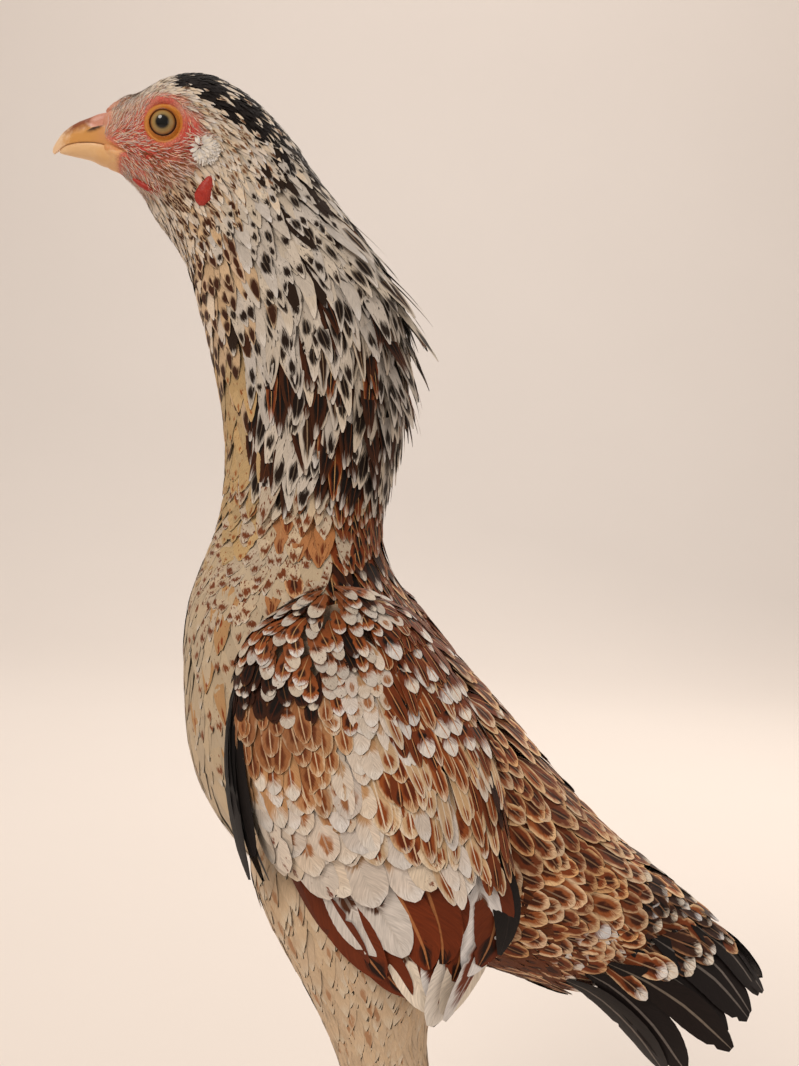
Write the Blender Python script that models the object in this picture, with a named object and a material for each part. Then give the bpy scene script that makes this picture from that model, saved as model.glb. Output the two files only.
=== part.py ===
# Aseel hen, life size, standing upright and still.
# Metres, +Z up. The beak points to -X and the bird's left side to -Y. The soles lie at Z = 0.
# Stations are written in millimetres and turned into metres by MM.

import math
import random
from collections import namedtuple

import bmesh
import bpy
from mathutils import Matrix, Vector

MM = 0.001
GAP = 0.3 * MM  # between touching pieces
FLANK_GAP = 0.5 * MM  # between the torso and what is cut to it, whose facets run otherwise
SHARP = math.radians(40)
SEED = 7  # for the small differences between feathers

# A station is one cross-section of a soft form: its foremost (or lowest) and rearmost (or
# highest) point seen from the side, half its width, how much wider the rear half is than
# the front half, and the Y of its foremost and rearmost points, alike unless both are given.
Station = namedtuple("Station", "front back half egg y rear_y", defaults=(0.0, 0.0, None))

# Head, neck and body in one run, from the face down to the root of the tail.
NAPE, NECK_BASE, TAIL_ROOT = 6, 11, 19
BODY = (
    Station((-130, 496.5), (-131, 517), 7.5),
    Station((-122, 493.5), (-120, 523), 12.5),
    Station((-115.5, 488), (-107, 531.5), 16.5, 0.05),
    Station((-112, 483), (-92, 534), 18.8, 0.1),
    Station((-108.5, 477.5), (-76, 527.5), 20.0, 0.05),
    Station((-101.5, 469), (-61, 515), 20.5),
    Station((-95.5, 460), (-49, 500), 22.0),
    Station((-90, 444), (-32, 480), 25.5),
    Station((-84, 424), (-15, 455), 29.0),
    Station((-78.5, 402), (-9, 418), 31.5),
    Station((-76.5, 378), (-12, 382), 32.0),
    Station((-79, 357), (-11, 352), 36.0, 0.1),
    Station((-88, 328), (3, 329), 48.0, 0.15),
    Station((-88.5, 300), (22, 310), 57.0, 0.12),
    Station((-84.5, 268), (42, 290), 59.0, 0.08),
    Station((-70, 240), (60, 270), 57.0, 0.05),
    Station((-40, 213), (78, 252), 50.0),
    Station((2, 196), (92, 240), 42.0),
    Station((38, 187), (106, 230), 32.0),
    Station((57, 181), (118, 221), 24.0),
)
HEAD_FACETS = {"rings": 12, "sides": 20}
NECK_FACETS = {"rings": 8, "sides": 20}
TORSO_FACETS = {"rings": 13, "sides": 26}

# The tail narrows upwards like a tent, and its last station is the tips of its feathers.
TAIL = (
    Station((57, 181), (118, 221), 24.0),
    Station((76, 176), (129, 211), 25.0, -0.1),
    Station((94, 164), (140, 202), 25.0, -0.25),
    Station((107, 151), (147, 192), 23.0, -0.35),
    Station((117, 141), (152, 182), 19.0, -0.4),
)
TAIL_CORE = 2.3  # station where the solid under the tail feathers ends
TAIL_SINK = 9 * MM  # how far that solid lies under them there
TAIL_FACETS = {"rings": 5, "sides": 18}

# The wing's sections are slanted: their rear edge lies nearer the back than their front edge.
WING = (
    Station((-42, 337), (-18, 341), 8.0, 0, -44, -38),
    Station((-59, 322), (0, 331), 20.0, 0, -50, -30),
    Station((-63.5, 298), (20, 306), 26.0, 0, -53, -31),
    Station((-59, 272), (35, 279.5), 26.0, 0, -56, -38),
    Station((-47.5, 247), (41.5, 252), 21.0, 0, -58, -46),
    Station((-32.5, 227), (46, 232), 15.0, 0, -60, -52),
    Station((-14.5, 209), (42, 217), 10.0, 0, -62, -58),
    Station((5, 193), (28, 200), 5.0, 0, -65, -64),
)
WING_CORE = 5.6  # station where the solid under the wing feathers ends
WING_SINK = 3.5 * MM
WING_FACETS = {"rings": 10, "sides": 18}

LEG_Y = -37
THIGH = (
    Station((-50, 262), (26, 272), 18.0, 0, LEG_Y + 10),
    Station((-55, 236), (27, 248), 22.0, 0, LEG_Y + 2),
    Station((-46, 212), (26, 220), 23.5, 0, LEG_Y - 1),
    Station((-33, 190), (20, 195), 21.5, 0, LEG_Y - 1),
    Station((-21, 168), (16.5, 170), 17.5, 0, LEG_Y - 0.5),
    Station((-13, 148), (19, 149), 14.0, 0, LEG_Y),
    Station((-4, 128), (19, 127.5), 9.5, 0, LEG_Y),
)
THIGH_FACETS = {"rings": 9, "sides": 16}
SHANK = (
    Station((-4, 128), (19, 127.5), 9.5, 0, LEG_Y),
    Station((-4.5, 117), (17.5, 116.5), 8.2, 0, LEG_Y),
    Station((-4.5, 102), (11, 102), 6.3, 0, LEG_Y),
    Station((-7.5, 74), (7, 74.5), 5.8, 0, LEG_Y),
    Station((-11.5, 42), (3.5, 42.5), 6.2, 0, LEG_Y),
    Station((-15.5, 22), (1.5, 23), 7.6, 0, LEG_Y),
    Station((-17.5, 14), (2.5, 14.6), 9.0, 0, LEG_Y),
)
PAD = (
    Station((-17.5, 14), (2.5, 14.6), 9.0, 0, LEG_Y),
    Station((-20, 8.5), (4, 8.8), 10.5, 0, LEG_Y),
    Station((-20, 3), (3.5, 3), 10.6, 0, LEG_Y),
    Station((-18, 0), (1.5, 0), 9.2, 0, LEG_Y),
)
SHANK_FACETS = {"rings": 9, "sides": 10}
PAD_FACETS = {"rings": 4, "sides": 12}

# A toe: heading in degrees from straight ahead, outwards positive, then in millimetres its
# length from the middle of the ankle to the claw, where it leaves the pad, width and height
# at its root, the number of pads underneath, and the length of its claw.
Toe = namedtuple("Toe", "heading length leaves wide high pads claw")
TOES = {
    "middle": Toe(4, 57, 19, 9.2, 8.6, 3, 12),
    "inner": Toe(-34, 40, 18, 8.6, 8.0, 2, 11),
    "outer": Toe(41, 47, 18, 8.2, 7.8, 3, 10),
    "rear": Toe(172, 27, 14, 7.4, 7.0, 1, 9.5),
}
TOE_FACETS = {"rings": 6, "sides": 8}
TOE_ROOT_FACETS = {"rings": 2, "sides": 8}
CLAW_FACETS = {"rings": 4, "sides": 6}
ANKLE = Vector((-8, LEG_Y, 0)) * MM
SOLE = -0.72  # where a toe's round section is cut flat, -1 being its lowest point

BEAK_FLAT = 0.35  # where each half of the beak is cut flat, towards the mouth
BEAK_UPPER_FACETS = {"rings": 10, "sides": 14}
BEAK_LOWER_FACETS = {"rings": 7, "sides": 12}
BEAK_UPPER = (
    Station((-130.8, 504.8), (-131.4, 517.2), 7.4),
    Station((-134.5, 505.2), (-135.8, 515.4), 6.4),
    Station((-139.5, 505), (-141.5, 512.8), 5.0),
    Station((-144.5, 504), (-146.6, 508.8), 3.2),
    Station((-148.2, 501.8), (-150.0, 503.6), 1.3),
    Station((-149.7, 500.4), (-150.5, 500.9), 0.5),
)
BEAK_LOWER = (
    Station((-130.4, 496.8), (-130.8, 504.3), 6.8),
    Station((-135, 498.6), (-135.2, 504.7), 5.6),
    Station((-140.5, 499.6), (-140.5, 504.4), 4.1),
    Station((-145.5, 500.4), (-145.4, 503.2), 2.2),
    Station((-147.6, 501.0), (-147.4, 502.1), 1.0),
)

# A bulb is an egg-shaped piece of the head: its middle and its half sizes in millimetres, and
# its slope in degrees: a positive one lifts its rear end, and tips its top forwards.
Bulb = namedtuple("Bulb", "middle radii slope sides rings", defaults=(0, 12, 8))
NOSTRIL = Bulb((-134.6, -6.6, 510.2), (3.0, 1.9, 0.7), 17, 8, 6)
MOUTH_CORNER = Bulb((-125.0, -12.0, 502.4), (8.0, 3.6, 0.5), -20, 8, 6)
BROW = Bulb((-105.5, -14.2, 520.6), (9.5, 3.4, 2.6), 6, 8, 6)
CHEEK = Bulb((-108.0, -14.0, 500.5), (9.0, 3.6, 5.2), -35, 8, 6)
EAR_TUFT = Bulb((-86.3, -18.4, 501.8), (5.8, 3.0, 4.4), -20, 8, 6)
EARLOBE = Bulb((-87.0, -19.4, 488.0), (2.8, 2.8, 6.4), -18, 10, 6)
EARLOBE_FOLD = Bulb((-83.2, -19.6, 491.0), (1.7, 2.0, 3.6), -24, 6, 5)
WATTLE = Bulb((-112.5, -9.6, 489.2), (5.6, 2.3, 2.4), -38, 8, 6)
WATTLE_FOLD = Bulb((-106.6, -11.8, 484.6), (4.4, 2.4, 2.0), -38, 6, 5)
COMB_RIDGE = Bulb((-124.4, 0.0, 521.4), (6.2, 1.9, 2.4), 27, 10, 6)
COMB_BEADS = 3  # along the comb's middle ridge, with one fewer along each side
COMB_BEAD = 1.5 * MM
COMB_SPREAD = 2.3 * MM
BEAD_FACETS = {"sides": 6, "rings": 4}

EYE = Vector((-104.8, -13.2, 512.2)) * MM
EYE_RADIUS = 7.4 * MM
LID_RADIUS = 6.4 * MM
LID_THICK = 2.1 * MM
LID_FACETS = {"sides": 12, "around": 5}
EYE_FACETS = {"sides": 14, "rings": 9}

# A tier is a row of vanes that starts at station t, reaches past that many stations and
# stands at count even turns from first to last. climb shifts the last vane's root by so many
# stations, and shorten is the share that its reach loses. In millimetres: width, the lift of
# the roots, how far the tips rise from there, how much every other vane lies higher, and the
# vanes' thickness. point is 0 for round tips and 1 for pointed ones, and slant is the turn a
# vane makes on its way.
Tier = namedtuple(
    "Tier",
    "t reach first last count wide lift rise stagger point slant climb shorten thick",
    defaults=(0.0, 0.0, 0.0, 0.7),
)
HACKLE = (
    Tier(6.15, 1.45, 0.000, 0.36, 5, 14, -1.6, 5.0, 1.1, 0.8),
    Tier(6.95, 1.45, 0.048, 0.36, 4, 16, -1.6, 6.4, 1.1, 0.9),
    Tier(7.75, 1.35, 0.000, 0.37, 5, 15, -1.6, 7.6, 1.1, 1.0),
    Tier(8.55, 1.30, 0.048, 0.37, 4, 17, -1.6, 7.0, 1.1, 1.0),
)
WING_TIERS = (
    Tier(1.60, 1.50, 0.11, 0.41, 4, 23, -1.5, 3.4, 1.0, 0.0),
    Tier(2.60, 1.85, 0.10, 0.42, 5, 21, -1.5, 3.6, 1.0, 0.0, 0.0, -0.2, 0.2),
    Tier(3.75, 2.95, 0.12, 0.41, 6, 18, -1.8, 2.8, 1.0, 0.2, 0.0, -1.3, 0.25),
    Tier(2.40, 4.30, 0.445, 0.465, 2, 9, -1.6, 2.2, 0.9, 0.4, -0.03, 0.2, 0.1),
    Tier(1.60, 2.40, 0.03, 0.08, 2, 17, -1.5, 3.0, 1.0, 0.1),
)
TAIL_TIERS = (
    Tier(0.70, 3.28, 0.035, 0.41, 5, 24, -2.2, 1.4, 1.2, 0.35, 0.0, 0.0, 0.12, 0.8),
    Tier(0.12, 2.20, 0.000, 0.37, 4, 23, -1.8, 5.2, 1.0, 0.6),
)

# Raised plates down the front of the shank, in two rows.
SHANK_PLATES = 4
SHANK_PLATE = Tier(1.1, 1.0, 0.43, 0.57, 2, 7.6, -0.5, 0.5, 0.0, 0.0)
SHANK_PLATE_STEP = 1.12
PLATE_THICK = 0.8 * MM

# Each material is a colour and a roughness.
MATERIALS = {
    "breast_plumage": ((0.70, 0.60, 0.46), 0.8),
    "neck_plumage": ((0.58, 0.52, 0.45), 0.8),
    "wing_plumage": ((0.44, 0.28, 0.18), 0.75),
    "tail_plumage": ((0.16, 0.10, 0.07), 0.6),
    "face_skin": ((0.62, 0.30, 0.24), 0.55),
    "red_skin": ((0.55, 0.05, 0.04), 0.45),
    "beak_horn": ((0.72, 0.50, 0.26), 0.4),
    "claw_horn": ((0.50, 0.40, 0.28), 0.4),
    "eye": ((0.42, 0.34, 0.12), 0.1),
    "leg_scale": ((0.68, 0.52, 0.26), 0.5),
}


def clear_scene():
    for thing in list(bpy.data.objects):
        bpy.data.objects.remove(thing, do_unlink=True)


def new_collection(name, hidden=False):
    made = bpy.data.collections.new(name)
    bpy.context.scene.collection.children.link(made)
    made.hide_render = hidden
    return made


def plain_material(name):
    colour, roughness = MATERIALS[name]
    made = bpy.data.materials.new(name)
    made.use_nodes = True
    shader = made.node_tree.nodes["Principled BSDF"]
    shader.inputs["Base Color"].default_value = (*colour, 1)
    shader.inputs["Roughness"].default_value = roughness
    shader.inputs["Metallic"].default_value = 0
    return made


def eased(values, t):
    """A smooth curve through numbers or vectors, one at each whole t."""
    low = min(max(math.floor(t), 0), len(values) - 2)
    s = t - low
    a, b, c, d = (values[min(max(k, 0), len(values) - 1)] for k in range(low - 1, low + 3))
    slope, bend, twist = c - a, 2 * a - 5 * b + 4 * c - d, 3 * b - a - 3 * c + d
    return 0.5 * (2 * b + slope * s + bend * s**2 + twist * s**3)


class Loft:
    """A soft form through stations.

    t counts the stations. turn goes once round: 0 is the rear or top, 0.25 the bird's
    left, 0.5 the front or underside. flat is the part of the round section that is kept,
    from -1 in front to 1 at the rear, the rest being cut off straight.
    """

    across = Vector((0, -1, 0))

    def __init__(self, stations, flat=(-1, 1)):
        rear_y = [s.y if s.rear_y is None else s.rear_y for s in stations]
        self.front = [Vector((s.front[0], s.y, s.front[1])) * MM for s in stations]
        self.back = [Vector((s.back[0], y, s.back[1])) * MM for s, y in zip(stations, rear_y)]
        self.half = [s.half * MM for s in stations]
        self.egg = [s.egg for s in stations]
        self.flat = flat
        self.last = len(stations) - 1

    def at(self, t, turn):
        front, back = eased(self.front, t), eased(self.back, t)
        deep, side = math.cos(turn * math.tau), math.sin(turn * math.tau)
        wide = eased(self.half, t) * side * (1 + eased(self.egg, t) * deep)
        low, high = self.flat
        deep = (min(max(deep, low), high) - low) / (high - low)
        return front.lerp(back, deep) + self.across * wide

    def along(self, t):
        """The direction of growing t, down the middle."""
        before, after = max(t - 0.1, 0), min(t + 0.1, self.last)
        middle = [self.at(s, 0) + self.at(s, 0.5) for s in (before, after)]
        return (middle[1] - middle[0]).normalized()

    def out(self, t, turn):
        """The direction straight out of the surface."""
        before, after = max(t - 0.02, 0), min(t + 0.02, self.last)
        down = self.at(after, turn) - self.at(before, turn)
        around = self.at(t, turn + 0.004) - self.at(t, turn - 0.004)
        return around.cross(down).normalized()

    def lifted(self, t, turn, lift):
        return self.at(t, turn) + self.out(t, turn) * lift

    def girth(self, t):
        """The way once round at t, as that of an ellipse."""
        deep = (eased(self.back, t) - eased(self.front, t)).length / 2
        return math.tau * math.sqrt((deep**2 + eased(self.half, t) ** 2) / 2)


class ToeLoft(Loft):
    """A toe laid on the floor: flat underneath, padded, and thinner towards its claw."""

    sections = 9

    def __init__(self, toe, start=0.0, end=1.0):
        heading = math.radians(180 + toe.heading)
        ahead = Vector((math.cos(heading), math.sin(heading), 0))
        self.across = Vector((ahead.y, -ahead.x, 0))
        self.front, self.back, self.half = [], [], []
        for k in range(self.sections):
            reach = start + (end - start) * k / (self.sections - 1)
            pad = 1 + 0.1 * math.cos(reach * toe.pads * math.tau)
            thin = 1 - 0.42 * reach
            floor = ANKLE + ahead * (reach * toe.length * MM)
            self.front.append(floor)
            self.back.append(floor + Vector((0, 0, toe.high * MM * thin * (0.6 + 0.4 * pad))))
            self.half.append(toe.wide / 2 * MM * thin * pad)
        self.egg = [-0.12] * self.sections
        self.flat = (SOLE, 1)
        self.last = self.sections - 1


class ClawLoft(Loft):
    """A claw that leaves its toe's end and curves down to just above the floor."""

    sections = 6
    narrow = 0.62  # of the toe's end
    low = 0.8
    droop = math.radians(40)

    def __init__(self, toe):
        root = ToeLoft(toe)
        ahead = root.along(root.last)
        self.across = root.across
        self.flat = (-1, 1)
        high = (root.back[-1] - root.front[-1]).z * self.low
        middle = root.front[-1].lerp(root.back[-1], 0.6) + ahead * GAP
        self.front, self.back, self.half = [], [], []
        for k in range(self.sections):
            share = k / (self.sections - 1)
            size = 1 - 0.93 * share**1.3
            here = middle + ahead * (toe.claw * MM * share)
            here.z -= high * 0.62 * share**1.8
            bend = self.droop * share
            up = (Vector((0, 0, 1)) * math.cos(bend) + ahead * math.sin(bend)) * high / 2 * size
            self.front.append(here - up)
            self.back.append(here + up)
            self.half.append(root.half[-1] * self.narrow * size)
        self.egg = [0.0] * self.sections
        self.last = self.sections - 1


def closed_object(name, bm, home):
    bmesh.ops.recalc_face_normals(bm, faces=bm.faces)
    if bm.calc_volume(signed=True) < 0:
        bmesh.ops.reverse_faces(bm, faces=bm.faces)
    mesh = bpy.data.meshes.new(name)
    bm.to_mesh(mesh)
    bm.free()
    made = bpy.data.objects.new(name, mesh)
    home.objects.link(made)
    return made


def tube(name, loft, home, start=0, end=None, rings=8, sides=12, grow=0.0, sink=0.0, trim=(0, 0)):
    """A closed solid round a loft, its two ends filled and pulled in by trim.

    It is grown evenly by grow, and sinks below the loft by up to sink at its far end.
    """
    end = loft.last if end is None else end
    bm = bmesh.new()
    bmesh.ops.create_grid(bm, x_segments=sides, y_segments=rings, size=0.5)
    for v in bm.verts:
        turn, share = v.co.x + 0.5, v.co.y + 0.5
        t = start + (end - start) * share
        lift = grow - sink * share**2
        v.co = loft.lifted(t, turn, lift) if lift else loft.at(t, turn)
        if share < 0.001:
            v.co += loft.along(t) * trim[0]
        if share > 0.999:
            v.co -= loft.along(t) * trim[1]
    bmesh.ops.remove_doubles(bm, verts=bm.verts, dist=0.001 * MM)
    bmesh.ops.holes_fill(bm, edges=[e for e in bm.edges if e.is_boundary], sides=0)
    return closed_object(name, bm, home)


def egg(name, home, bulb, side=1, grow=0.0):
    """A bulb's own closed solid; side -1 puts it on the bird's right."""
    bm = bmesh.new()
    bmesh.ops.create_uvsphere(bm, u_segments=bulb.sides, v_segments=bulb.rings, radius=1)
    upright = Matrix.Rotation(math.radians(90), 3, "X")
    slope = Matrix.Rotation(math.radians(-bulb.slope), 3, "Y")
    bmesh.ops.rotate(bm, cent=(0, 0, 0), matrix=upright, verts=bm.verts)
    bmesh.ops.scale(bm, vec=[r * MM + grow for r in bulb.radii], verts=bm.verts)
    bmesh.ops.rotate(bm, cent=(0, 0, 0), matrix=slope, verts=bm.verts)
    x, y, z = bulb.middle
    bmesh.ops.translate(bm, vec=Vector((x, y * side, z)) * MM, verts=bm.verts)
    return closed_object(name, bm, home)


def ball(name, home, centre, radius, sides, rings):
    bulb = Bulb([c / MM for c in centre], [radius / MM] * 3, 0, sides, rings)
    return egg(name, home, bulb)


def ring(name, home, centre, radius, thick, sides, around):
    """A round lip lying in the side view, about an axis along Y."""
    bm = bmesh.new()
    made = bmesh.ops.create_circle(bm, segments=around, radius=thick / 2, cap_ends=False)
    bmesh.ops.translate(bm, vec=(radius, 0, 0), verts=made["verts"])
    bmesh.ops.spin(
        bm,
        geom=bm.verts[:] + bm.edges[:],
        cent=(0, 0, 0),
        axis=(0, 1, 0),
        angle=math.tau,
        steps=sides,
        use_merge=True,
    )
    bmesh.ops.remove_doubles(bm, verts=bm.verts, dist=0.001 * MM)
    bmesh.ops.translate(bm, vec=centre, verts=bm.verts)
    return closed_object(name, bm, home)


def vane_outline(s, point):
    """A vane's width at s, from 0 at its root to 1 at its tip, as a share of its widest."""
    widest = 0.55
    if s < widest:
        return 0.45 + 0.55 * math.sin(s / widest * math.pi / 2)
    past = (s - widest) / (1 - widest)
    rounded = math.sqrt(max(1 - past**2.4, 0))
    pointed = 1 - past**1.2
    return max(rounded * (1 - point) + pointed * point, 0.1 + 0.25 * (1 - point))


def vane(name, home, loft, root, reach, turn, slant, wide, lift, rise, point, thick, segments=(1, 4)):
    """One feather: a thin closed blade that leaves the loft and lies along it."""
    across, along = segments
    bm = bmesh.new()
    bmesh.ops.create_grid(bm, x_segments=across, y_segments=along, size=0.5)
    bmesh.ops.triangulate(bm, faces=bm.faces)
    top = bmesh.ops.extrude_face_region(bm, geom=bm.faces[:], use_keep_orig=True)
    raised = [g for g in top["geom"] if isinstance(g, bmesh.types.BMVert)]
    bmesh.ops.translate(bm, vec=(0, 0, 1), verts=raised)
    for v in bm.verts:
        side, share, layer = v.co.x * 2, v.co.y + 0.5, v.co.z
        s = 1 - (1 - share) ** 1.35  # closer rows near the tip
        t = root + reach * s
        half_turn = wide / 2 * vane_outline(s, point) / loft.girth(t)
        crown = -0.35 * MM * side**2
        height = lift + rise * s + crown + thick * layer
        v.co = loft.lifted(t, turn + slant * s + side * half_turn, height)
    return closed_object(name, bm, home)


def tier_of_vanes(home, loft, tier, draw, sides=(1, -1)):
    """A tier on one or both sides of a loft, each vane a little unlike its neighbours."""
    made = []
    for k in range(tier.count):
        share = k / (tier.count - 1)
        turn = tier.first + (tier.last - tier.first) * share
        root = tier.t + tier.climb * share + draw.uniform(-0.03, 0.03)
        reach = tier.reach * (1 - tier.shorten * share) * draw.uniform(0.96, 1.03)
        wide = tier.wide * MM * draw.uniform(0.95, 1.05)
        lift = (tier.lift + tier.stagger * (k % 2)) * MM
        slant = tier.slant + draw.uniform(-0.006, 0.006)
        for side in sides if turn > 0 else sides[:1]:
            blade = (root, reach, turn * side, slant * side, wide, lift, tier.rise * MM)
            made.append(vane("vane", home, loft, *blade, tier.point, tier.thick * MM))
    return made


def as_cutter(piece):
    piece.display_type = "WIRE"
    piece.hide_render = True
    return piece


def enclosed(faces):
    """The volume inside a closed set of faces."""
    volume = 0.0
    for face in faces:
        first, *rest = [v.co for v in face.verts]
        for b, c in zip(rest, rest[1:]):
            volume += first.dot(b.cross(c)) / 6
    return abs(volume)


def keep_largest_surface(mesh):
    """Drop every closed surface of a mesh but the one that holds most."""
    bm = bmesh.new()
    bm.from_mesh(mesh)
    left, islands = set(bm.faces), []
    while left:
        todo, island = [left.pop()], []
        while todo:
            face = todo.pop()
            island.append(face)
            near = {f for edge in face.edges for f in edge.link_faces} & left
            left -= near
            todo.extend(near)
        islands.append(island)
    islands.sort(key=enclosed, reverse=True)
    scraps = [face for island in islands[1:] for face in island]
    bmesh.ops.delete(bm, geom=scraps, context="FACES")
    bm.to_mesh(mesh)
    bm.free()


def shaped(body, extra=(), cutters=(), solver="EXACT"):
    """Join a piece with extra pieces, cut it, and keep the one closed body that is left."""
    group = bpy.data.collections.new(body.name + "_extra")
    for piece in extra:
        group.objects.link(piece)
    if extra:
        join = body.modifiers.new("join", "BOOLEAN")
        join.operation = "UNION"
        join.operand_type = "COLLECTION"
        join.collection = group
        join.solver = solver
    for cutter in cutters:
        cut = body.modifiers.new("cut", "BOOLEAN")
        cut.operation = "DIFFERENCE"
        cut.object = cutter
        cut.solver = solver
    bpy.context.view_layer.update()
    result = body.evaluated_get(bpy.context.evaluated_depsgraph_get())
    mesh = bpy.data.meshes.new_from_object(result)
    mesh.name = body.name
    body.modifiers.clear()
    body.data = mesh
    keep_largest_surface(mesh)
    for piece in extra:
        bpy.data.objects.remove(piece, do_unlink=True)
    bpy.data.collections.remove(group)
    return body


def finished(piece, slot):
    mesh = piece.data
    mesh.materials.clear()
    mesh.materials.append(bpy.data.materials[slot])
    mesh.shade_smooth()
    mesh.set_sharp_from_angle(angle=SHARP)
    return piece


def pair(piece, slot, home):
    """Finish a left piece and add its mirror image on the right."""
    finished(piece, slot)
    mesh = piece.data.copy()
    mesh.transform(Matrix.Scale(-1, 4, (0, 1, 0)))
    mesh.flip_normals()
    mesh.name = piece.name.replace("_left", "_right")
    home.objects.link(bpy.data.objects.new(mesh.name, mesh))
    return piece


def make_head(body, home, cutters):
    """The head with its brows, cheeks, lids and ear tufts, and its open sockets and gape."""
    head = tube("head", body, home, 0, NAPE, trim=(GAP / 2, GAP / 2), **HEAD_FACETS)
    extra, cuts = [], []
    lid_plane = EYE.y - math.sqrt(EYE_RADIUS**2 - LID_RADIUS**2)
    for side in (1, -1):
        lid = Vector((EYE.x, lid_plane * side, EYE.z))
        extra.append(ring("lid", home, lid, LID_RADIUS, LID_THICK, **LID_FACETS))
        extra += [egg("bulb", home, bulb, side) for bulb in (BROW, CHEEK, EAR_TUFT)]
        eye = Vector((EYE.x, EYE.y * side, EYE.z))
        cuts.append(as_cutter(ball("socket", cutters, eye, EYE_RADIUS + GAP, **EYE_FACETS)))
        cuts.append(as_cutter(egg("gape", cutters, MOUTH_CORNER, side)))
    return finished(shaped(head, extra, cuts, "MANIFOLD"), "face_skin")


def make_comb(home, skin):
    """A low comb of three rows of beads over the root of the beak."""
    slope = math.radians(COMB_RIDGE.slope)
    ahead = Vector((math.cos(slope), 0, math.sin(slope)))
    middle = Vector(COMB_RIDGE.middle) * MM
    length = COMB_RIDGE.radii[0] * 1.7 * MM
    beads = []
    for row in (-1, 0, 1):
        count = COMB_BEADS - abs(row)
        for k in range(count):
            along = (k / (count - 1) - 0.5) * length * (0.8 if row else 1)
            rise = Vector((-ahead.z, 0, ahead.x)) * (0.9 * MM if row == 0 else -0.9 * MM)
            spot = middle + ahead * along + rise + Vector((0, row * COMB_SPREAD, 0))
            beads.append(ball("bead", home, spot, COMB_BEAD, **BEAD_FACETS))
    comb = shaped(egg("comb", home, COMB_RIDGE), beads, [skin])
    return finished(comb, "red_skin")


def make_face_pieces(body, home, cutters):
    """What sits on the head in pieces of its own: comb, wattles, earlobes, eyes and beak."""
    skin = as_cutter(tube("skin", body, cutters, 0, NAPE, grow=GAP, **HEAD_FACETS))
    tuft = as_cutter(egg("tuft_clear", cutters, EAR_TUFT, grow=GAP))
    make_comb(home, skin)
    wattle = egg("wattle_left", home, WATTLE)
    pair(shaped(wattle, [egg("fold", home, WATTLE_FOLD)], [skin]), "red_skin", home)
    lobe = egg("earlobe_left", home, EARLOBE)
    pair(shaped(lobe, [egg("fold", home, EARLOBE_FOLD)], [skin, tuft]), "red_skin", home)
    pair(ball("eye_left", home, EYE, EYE_RADIUS, **EYE_FACETS), "eye", home)
    nostrils = [as_cutter(egg("nostril", cutters, NOSTRIL, side)) for side in (1, -1)]
    upper = tube("beak_upper", Loft(BEAK_UPPER, flat=(-BEAK_FLAT, 1)), home, **BEAK_UPPER_FACETS)
    finished(shaped(upper, cutters=nostrils), "beak_horn")
    lower = tube("beak_lower", Loft(BEAK_LOWER, flat=(-1, BEAK_FLAT)), home, **BEAK_LOWER_FACETS)
    finished(lower, "beak_horn")


def make_body(body, home, cutters, draw):
    """Neck with its hackle, torso and tail. Returns the cutter that clears the torso."""
    ends = (GAP / 2, GAP / 2)
    neck = tube("neck", body, home, NAPE, NECK_BASE, trim=ends, **NECK_FACETS)
    hackle = [v for tier in HACKLE for v in tier_of_vanes(home, body, tier, draw)]
    finished(shaped(neck, hackle, solver="MANIFOLD"), "neck_plumage")

    torso_run = {"start": NECK_BASE, "end": TAIL_ROOT, **TORSO_FACETS}
    finished(tube("torso", body, home, trim=ends, **torso_run), "breast_plumage")

    tail_form = Loft(TAIL)
    root = (GAP / 2, 0)
    core = {"end": TAIL_CORE, "sink": TAIL_SINK, **TAIL_FACETS}
    tail = tube("tail", tail_form, home, trim=root, **core)
    feathers = [v for tier in TAIL_TIERS for v in tier_of_vanes(home, tail_form, tier, draw)]
    finished(shaped(tail, feathers, solver="MANIFOLD"), "tail_plumage")
    return as_cutter(tube("torso_clear", body, cutters, grow=FLANK_GAP, **torso_run))


def make_wings_and_thighs(home, cutters, torso_clear, draw):
    thigh = tube("thigh_left", Loft(THIGH), home, trim=(0, GAP / 2), **THIGH_FACETS)
    pair(shaped(thigh, cutters=[torso_clear]), "breast_plumage", home)
    thigh_clear = as_cutter(tube("thigh_clear", Loft(THIGH), cutters, grow=GAP, **THIGH_FACETS))

    wing_form = Loft(WING)
    wing = tube("wing_left", wing_form, home, end=WING_CORE, sink=WING_SINK, **WING_FACETS)
    tiers = [tier_of_vanes(home, wing_form, tier, draw, sides=(1,)) for tier in WING_TIERS]
    vanes = [v for tier in tiers for v in tier]
    wing = shaped(wing, vanes, [torso_clear, thigh_clear], "MANIFOLD")
    pair(wing, "wing_plumage", home)


def plates(home, loft, plate, count, step):
    """Scutes down the front of a shank, in two rows half a plate apart."""
    made = []
    for k in range(count):
        for row, turn in enumerate((plate.first, plate.last)):
            root = plate.t + step * (k + row / 2)
            if root + plate.reach > loft.last:
                continue
            blade = (root, plate.reach, turn, 0, plate.wide * MM, plate.lift * MM, plate.rise * MM)
            made.append(vane("plate", home, loft, *blade, plate.point, PLATE_THICK, (1, 2)))
    return made


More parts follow.
